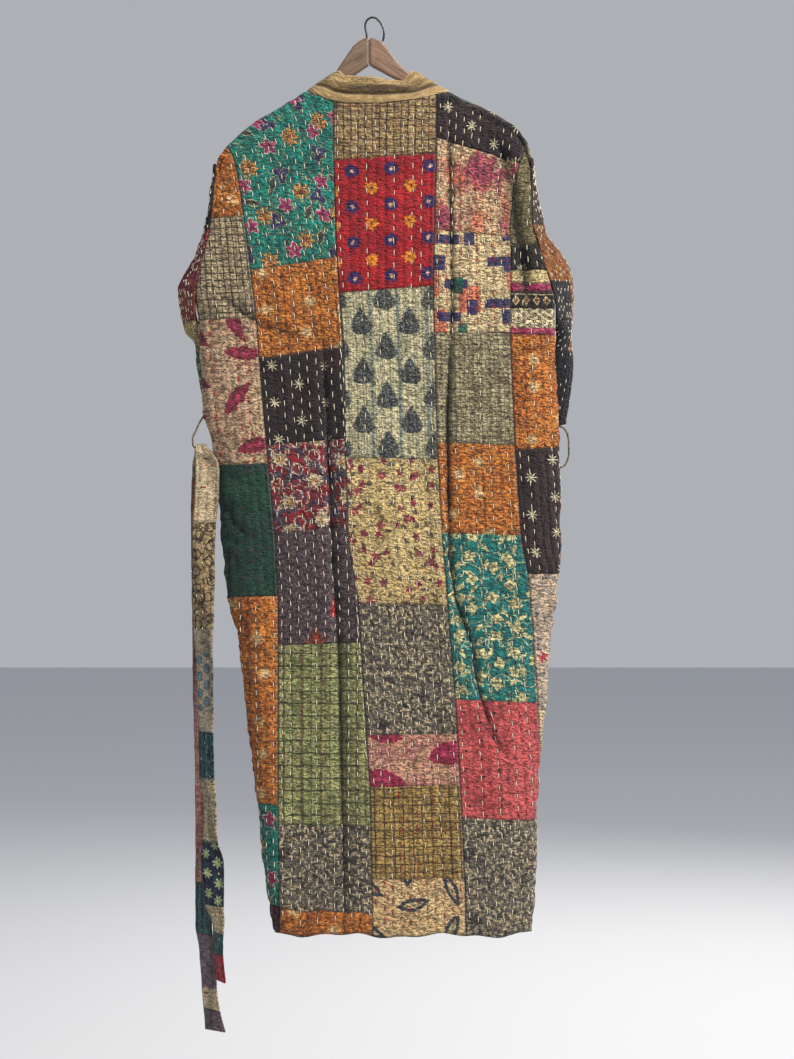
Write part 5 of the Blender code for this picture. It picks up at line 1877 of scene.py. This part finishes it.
@dataclass
class Strip:
    """A narrow strip of cloth along a path: the sash or a belt loop."""

    tailor: Tailor

    def sash(self) -> None:
        """Build the sash, pieced from short lengths, hung over the left loop."""
        table = np.array(SASH, float)
        centre = np.stack([table[:, 1], table[:, 2], table[:, 0]], -1)
        gather = table[:, 0] > -640
        width = table[:, 3]
        turn = np.where(gather, 0.0, np.arccos(width / SASH_WIDTH))
        length = np.where(gather, width, SASH_WIDTH) / 2
        half = np.stack([length * np.cos(turn), -length * np.sin(turn), 0 * turn], -1)
        run = np.concatenate([[0.0], np.cumsum(np.linalg.norm(np.diff(centre, axis=0), axis=1))])
        even = np.linspace(0.0, run[-1], 420)
        middle = np.stack([eased(run, centre[:, k], even) for k in range(3)], -1)
        wide = np.stack([eased(run, half[:, k], even) for k in range(3)], -1)
        course = unit(np.gradient(middle, axis=0))
        face = unit(np.cross(wide, course))
        share = np.linspace(-1.0, 1.0, 15)
        points = middle[:, None] + wide[:, None] * share[None, :, None]
        arched = (1.0 - share ** 2)[None, :] * 0.9
        normals = np.repeat(face[:, None], len(share), axis=1)
        if normals[60, 7, 1] > 0:
            normals = -normals
            arched = -arched
        down = even - run[table[:, 0].argmax()]
        v = np.abs(down)[:, None] + np.zeros(points.shape[:2])
        u = (share * (SASH_WIDTH / 2) + SASH_WIDTH / 2)[None, :] + np.zeros(points.shape[:2])
        rise = 1.1 + arched + 1.0 * crumple(points, 22.0, 61.0) + 0.5 * crumple(points, 9.0, 67.0)
        near_tail = (
            ("sash_cream", 122), ("sash_block", 276), ("sash_greige", 312), ("sash_circles", 396),
            ("sash_greige", 428),
            ("sash_teal", 494), ("sash_lattice", 588), ("sash_daisies", 684), ("sash_lattice", 720),
            ("sash_teal", 752),
            ("sash_red", 900),
        )
        far_tail = (
            ("sash_block", 60), ("orange_mottled", 340), ("sash_pink", 650), ("sash_teal", 725),
            ("sash_mauve", 805), ("sash_cream", 836), ("sash_mauve", 990),
        )
        cottons = list(dict.fromkeys([name for name, _ in near_tail + far_tail]))
        kinds = np.zeros((len(even) - 1, len(share) - 1), int)
        seams = []
        for tail, sign in ((near_tail, -1), (far_tail, 1)):
            seams += [sign * bottom for _, bottom in tail[:-1]]
        for j in range(len(even) - 1):
            mid = (down[j] + down[j + 1]) / 2
            tail = near_tail if mid < 0 else far_tail
            kinds[j] = cottons.index(next(name for name, bottom in tail if abs(mid) <= bottom))
        seam = np.min(np.abs(down[None] - np.array(seams)[:, None]), axis=0)[:, None]
        edge = np.minimum(seam, np.minimum(u, SASH_WIDTH - u))
        # Painted shade of the sash's twist, in diagonal bands, carried as its crease attribute
        twist = 0.5 * smooth(0.1, 1.0, np.sin(even[:, None] * 0.023 + u * 0.11))
        sheet = Sheet(
            "sash_strip", points + normals * rise[..., None], normals, np.stack([u, v, edge], -1),
            cottons, kinds, crease=twist,
        )
        piece = self.tailor.make(sheet, ("sash_tail_near", "sash_tail_far"), "sash", 2.4)
        for i in (3, 7, 11):
            for j in range(4, len(even) - 4, 6):
                cloth = CLOTHS[cottons[kinds[j, i]]]
                if self.tailor.chance.random() < cloth.sewn:
                    along = sheet.points[j + 1, i] - sheet.points[j, i]
                    self.tailor.stitch("sash", cloth.thread[0], sheet.points[j, i], along, normals[j, i], 5.0)

    def loop(self, side: str, outline: tuple[tuple[float, float], ...]) -> None:
        """Build a belt loop.

        Args:
            side: left or right.
            outline: x and z along its middle.
        """
        line = np.array(outline, float)
        run = np.concatenate([[0.0], np.cumsum(np.hypot(*np.diff(line, axis=0).T))])
        even = np.linspace(0.0, run[-1], 60)
        x = eased(run, line[:, 0], even)
        z = eased(run, line[:, 1], even)
        share = np.linspace(-1.0, 1.0, 7)
        middle = np.stack([x, 0 * x, z], -1)
        face = unit(np.cross(unit(np.gradient(middle, axis=0)), np.array([0.0, 1.0, 0.0])))
        points = middle[:, None] + share[None, :, None] * np.array([0.0, LOOP_WIDTH / 2, 0.0])
        normals = np.repeat(face[:, None], len(share), axis=1)
        rise = 1.0 - 0.25 * share[None, :] ** 2 + 0.3 * crumple(points, 8.0, 71.0)
        u = (share * (LOOP_WIDTH / 2) + LOOP_WIDTH / 2)[None, :] + np.zeros(points.shape[:2])
        v = even[:, None] + np.zeros(points.shape[:2])
        edge = np.minimum(u, LOOP_WIDTH - u) + 0.5
        sheet = Sheet(
            f"loop_strip_{side}", points + normals * rise[..., None], normals, np.stack([u, v, edge], -1),
            ["loop_olive"], np.zeros((len(even) - 1, len(share) - 1), int),
        )
        piece = self.tailor.make(sheet, (f"belt_loop_{side}",), "loop", 2.0)


def velvet(dyer: ClothDyer) -> None:
    """Dye the neck band's tan velvet, rubbed pale along its folds, with a painted sheen on its crushed pile
    and painted shade in its crease, in its gathers and under its roll.

    Args:
        dyer: keeps the material under its name.
    """
    bath = DyeBath("band_velvet")
    u, v, edge = bath.attribute("cloth")
    pile = bath.noise(u * 1.1, v * 1.1, 4.0, 3.0, 0.6)
    brushed = bath.noise(u * 0.08, v * 0.05, 8.0, 2.0, 0.5)
    crushed_pile_sheen = bath.noise(u * 0.32, v * 0.09, 2.0, 2.0, 0.6)
    color = bath.mix(brushed.ramp(0.35, 0.65), dyed(142, 116, 74), dyed(172, 144, 98))
    # Paler crushed pile: partly the pile's own look, partly a painted sheen
    color = bath.mix(crushed_pile_sheen.ramp(0.55, 0.75) * 0.5, color, dyed(196, 170, 122))
    gather = bath.noise(u * 0.16, v * 0.045, 12.0, 2.0, 0.5)
    # Painted shade in the folds of the gathers, on the roll above the crease
    painted_gather_shade = (1.0 - abs(gather - 0.5).ramp(0.0, 0.05)) * u.ramp(14.0, 18.0)
    # Painted shade in the deep crease below the roll
    crease = 1.0 - abs(u - 13.6).ramp(0.9, 3.6)
    color = bath.mix(painted_gather_shade * 0.35, color, dyed(98, 76, 48))
    color = bath.mix(crease * 0.92, color, dyed(62, 46, 28))
    # Painted shadow under the roll, only in the middle of the neck
    behind = 1.0 - abs(v - 14.0).ramp(38.0, 74.0)
    under = (1.0 - abs(u - 22.0 + gather * 10.0 - 4.0).ramp(2.5, 8.0)) * behind
    color = bath.mix(under * 0.9, color, dyed(62, 47, 30))
    worn = 1.0 - edge.ramp(0.4, 2.4)
    color = bath.mix(worn * 0.5, color, dyed(206, 178, 130))
    tone = bath.tint(color, pile * 0.3 + crushed_pile_sheen * 0.25 + 0.76)
    bath.look({"Base Color": tone, "Roughness": 0.8, "Sheen Weight": 0.08})
    bath.bump(crushed_pile_sheen * 1.6 + gather * 2.2 + pile * 0.15 - crease * 1.2 - painted_gather_shade * 0.8, 1.8)
    dyer.made["band_velvet"] = bath.material


@dataclass(frozen=True)
class Wood:
    """Worn hanger wood."""

    name: str
    pale: Color
    dark: Color
    tilt: float

    def material(self) -> bpy.types.Material:
        """Build the grain along the arm."""
        bath = DyeBath(self.name)
        sockets = {"Vector": bath.place(), "Rotation": (0.0, self.tilt, 0.0)}
        turned = bath.node("ShaderNodeMapping", {}, sockets)
        x, y, z = bath.split(Field(bath, turned.outputs[0]))
        warp = bath.noise(x * 14.0, y * 60.0, z * 60.0, 2.0)
        lines = bath.noise(x * 26.0, y * 420.0, z * 420.0 + warp * 3.0, 3.0, 0.6)
        pores = bath.noise(x * 90.0, y * 1500.0, z * 1500.0, 2.0, 0.6)
        stains = bath.noise(x * 38.0, y * 38.0, z * 38.0, 3.0, 0.6)
        color = bath.mix(lines.ramp(0.32, 0.68), self.dark, self.pale)
        color = bath.mix(stains.ramp(0.54, 0.74) * 0.5, color, dyed(60, 46, 38))
        color = bath.mix(pores.ramp(0.62, 0.72) * 0.5, color, dyed(48, 36, 28))
        scuff = bath.noise(x * 120.0, y * 120.0, z * 120.0, 3.0, 0.7)
        color = bath.mix(scuff.ramp(0.62, 0.78) * 0.45, color, dyed(186, 162, 132))
        bath.look({"Base Color": color, "Roughness": lines * 0.2 + stains * 0.2 + 0.4})
        bath.bump(lines * 0.5 - pores.ramp(0.6, 0.75) * 0.5 + scuff * 0.3, 0.35)
        return bath.material


def wire_material() -> bpy.types.Material:
    """Blackened steel wire with rubbed spots."""
    bath = DyeBath("black_wire")
    x, y, z = bath.split(bath.place())
    spots = bath.noise(x * 240.0, y * 240.0, z * 240.0, 3.0, 0.6)
    color = bath.mix(spots.ramp(0.58, 0.72), dyed(34, 32, 34), dyed(92, 84, 78))
    metal = spots.ramp(0.5, 0.8) * 0.5 + 0.4
    bath.look({"Base Color": color, "Metallic": metal, "Roughness": spots * 0.3 + 0.32})
    bath.bump(spots, 0.15)
    return bath.material


@dataclass
class Hanger:
    """The wooden hanger and its hook, kept as the solids have them."""

    left: Wood = Wood("hanger_wood_left", dyed(136, 112, 90), dyed(92, 72, 58), math.radians(33))
    right: Wood = Wood("hanger_wood_right", dyed(150, 118, 98), dyed(106, 80, 66), math.radians(-33))

    def finish(self) -> None:
        """Give the solids their wood and wire."""
        made = {
            "hanger_arm_left": self.left.material(),
            "hanger_arm_right": self.right.material(),
            "hanger_hook": wire_material(),
        }
        for node, material in made.items():
            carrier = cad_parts[node]
            for slot in carrier.material_slots:
                slot.material = material
            log.info("%s finished", node)


@dataclass
class Studio:
    """Pale floor, soft light and the camera at the photograph's angle."""

    floor_z: float = -1.78
    distance: float = 3.4
    mm_per_pixel: float = 1.45
    # The photograph's size and the place of the hook's top in it, in pixels
    width: int = 794
    height: int = 1059
    hook_x: float = 371.0
    hook_y: float = 14.0
    # How far before the hook a pixel is exactly mm_per_pixel, in metres, and the film's height in millimetres
    scale_plane: float = 0.028
    film: float = 24.0

    def build(self) -> None:
        """Set the stage."""
        bm = bmesh.new()
        level = Matrix.Translation((0, 0, self.floor_z))
        bmesh.ops.create_grid(bm, x_segments=2, y_segments=2, size=14.0, matrix=level)
        mesh = bpy.data.meshes.new("studio_floor")
        bm.to_mesh(mesh)
        bm.free()
        floor = add("studio_floor", mesh)
        bath = DyeBath("studio_floor")
        bath.look({"Base Color": dyed(206, 208, 213), "Roughness": 0.9})
        mesh.materials.append(bath.material)
        self._lights()
        self._camera()

    def _lights(self) -> None:
        """Add a soft world and three area lights."""
        world = bpy.data.worlds.new("studio_world")
        bpy.context.scene.world = world
        world.use_nodes = True
        background = world.node_tree.nodes["Background"]
        background.inputs[0].default_value = (0.84, 0.87, 0.93, 1.0)
        background.inputs[1].default_value = 0.50
        for name, place, aim, size, power in (
            ("key", (2.9, -2.3, 2.4), (0.0, 0.0, -0.75), 0.40, 300.0),
            ("fill", (-2.6, -2.8, -0.4), (0.0, 0.0, -0.8), 2.0, 4.0),
            ("front", (1.2, 3.0, 1.0), (0.0, 0.0, -0.7), 1.2, 80.0),
        ):
            lamp = bpy.data.lights.new(name, "AREA")
            lamp.shape = "DISK"
            lamp.size = size
            lamp.energy = power
            lamp.color = (1.0, 0.95, 0.87)
            made = add(name, lamp)
            made.location = place
            made.rotation_euler = (Vector(aim) - Vector(place)).to_track_quat("-Z", "Y").to_euler()
        bpy.context.scene.view_settings.view_transform = "Standard"

    def _camera(self) -> None:
        """Place the camera square to the back of the robe."""
        lens = bpy.data.cameras.new("camera")
        lens.sensor_fit = "VERTICAL"
        tall = self.height * self.mm_per_pixel * MM
        lens.sensor_height = self.film
        lens.lens = self.film * (self.distance - self.scale_plane) / tall
        camera = add("camera", lens)
        x = (self.width / 2 - self.hook_x) * self.mm_per_pixel * MM
        z = (self.hook_y - self.height / 2) * self.mm_per_pixel * MM
        camera.location = (x, -self.distance, z)
        camera.rotation_euler = (math.radians(90), 0.0, 0.0)
        bpy.context.scene.camera = camera


def main() -> None:
    """Build the robe, its sash and its hanger."""
    logging.basicConfig(level=logging.INFO, format="%(name)s: %(message)s")
    dyer = ClothDyer()
    velvet(dyer)
    tailor = Tailor(dyer)
    back, front = Half(False), Half(True)
    body = Body(tailor, back, front)
    body.back()
    body.fronts()
    Sleeve(tailor, True).build(back, front, SLEEVE_LEFT_BEHIND, SLEEVE_LEFT_OUTER)
    Sleeve(tailor, False).build(back, front, SLEEVE_RIGHT_BEHIND, SLEEVE_RIGHT_OUTER)
    strip = Strip(tailor)
    strip.sash()
    strip.loop("left", LOOP_LEFT)
    strip.loop("right", LOOP_RIGHT)
    tailor.finish_threads()
    Hanger().finish()
    Studio().build()


if __name__ == "__main__":
    main()
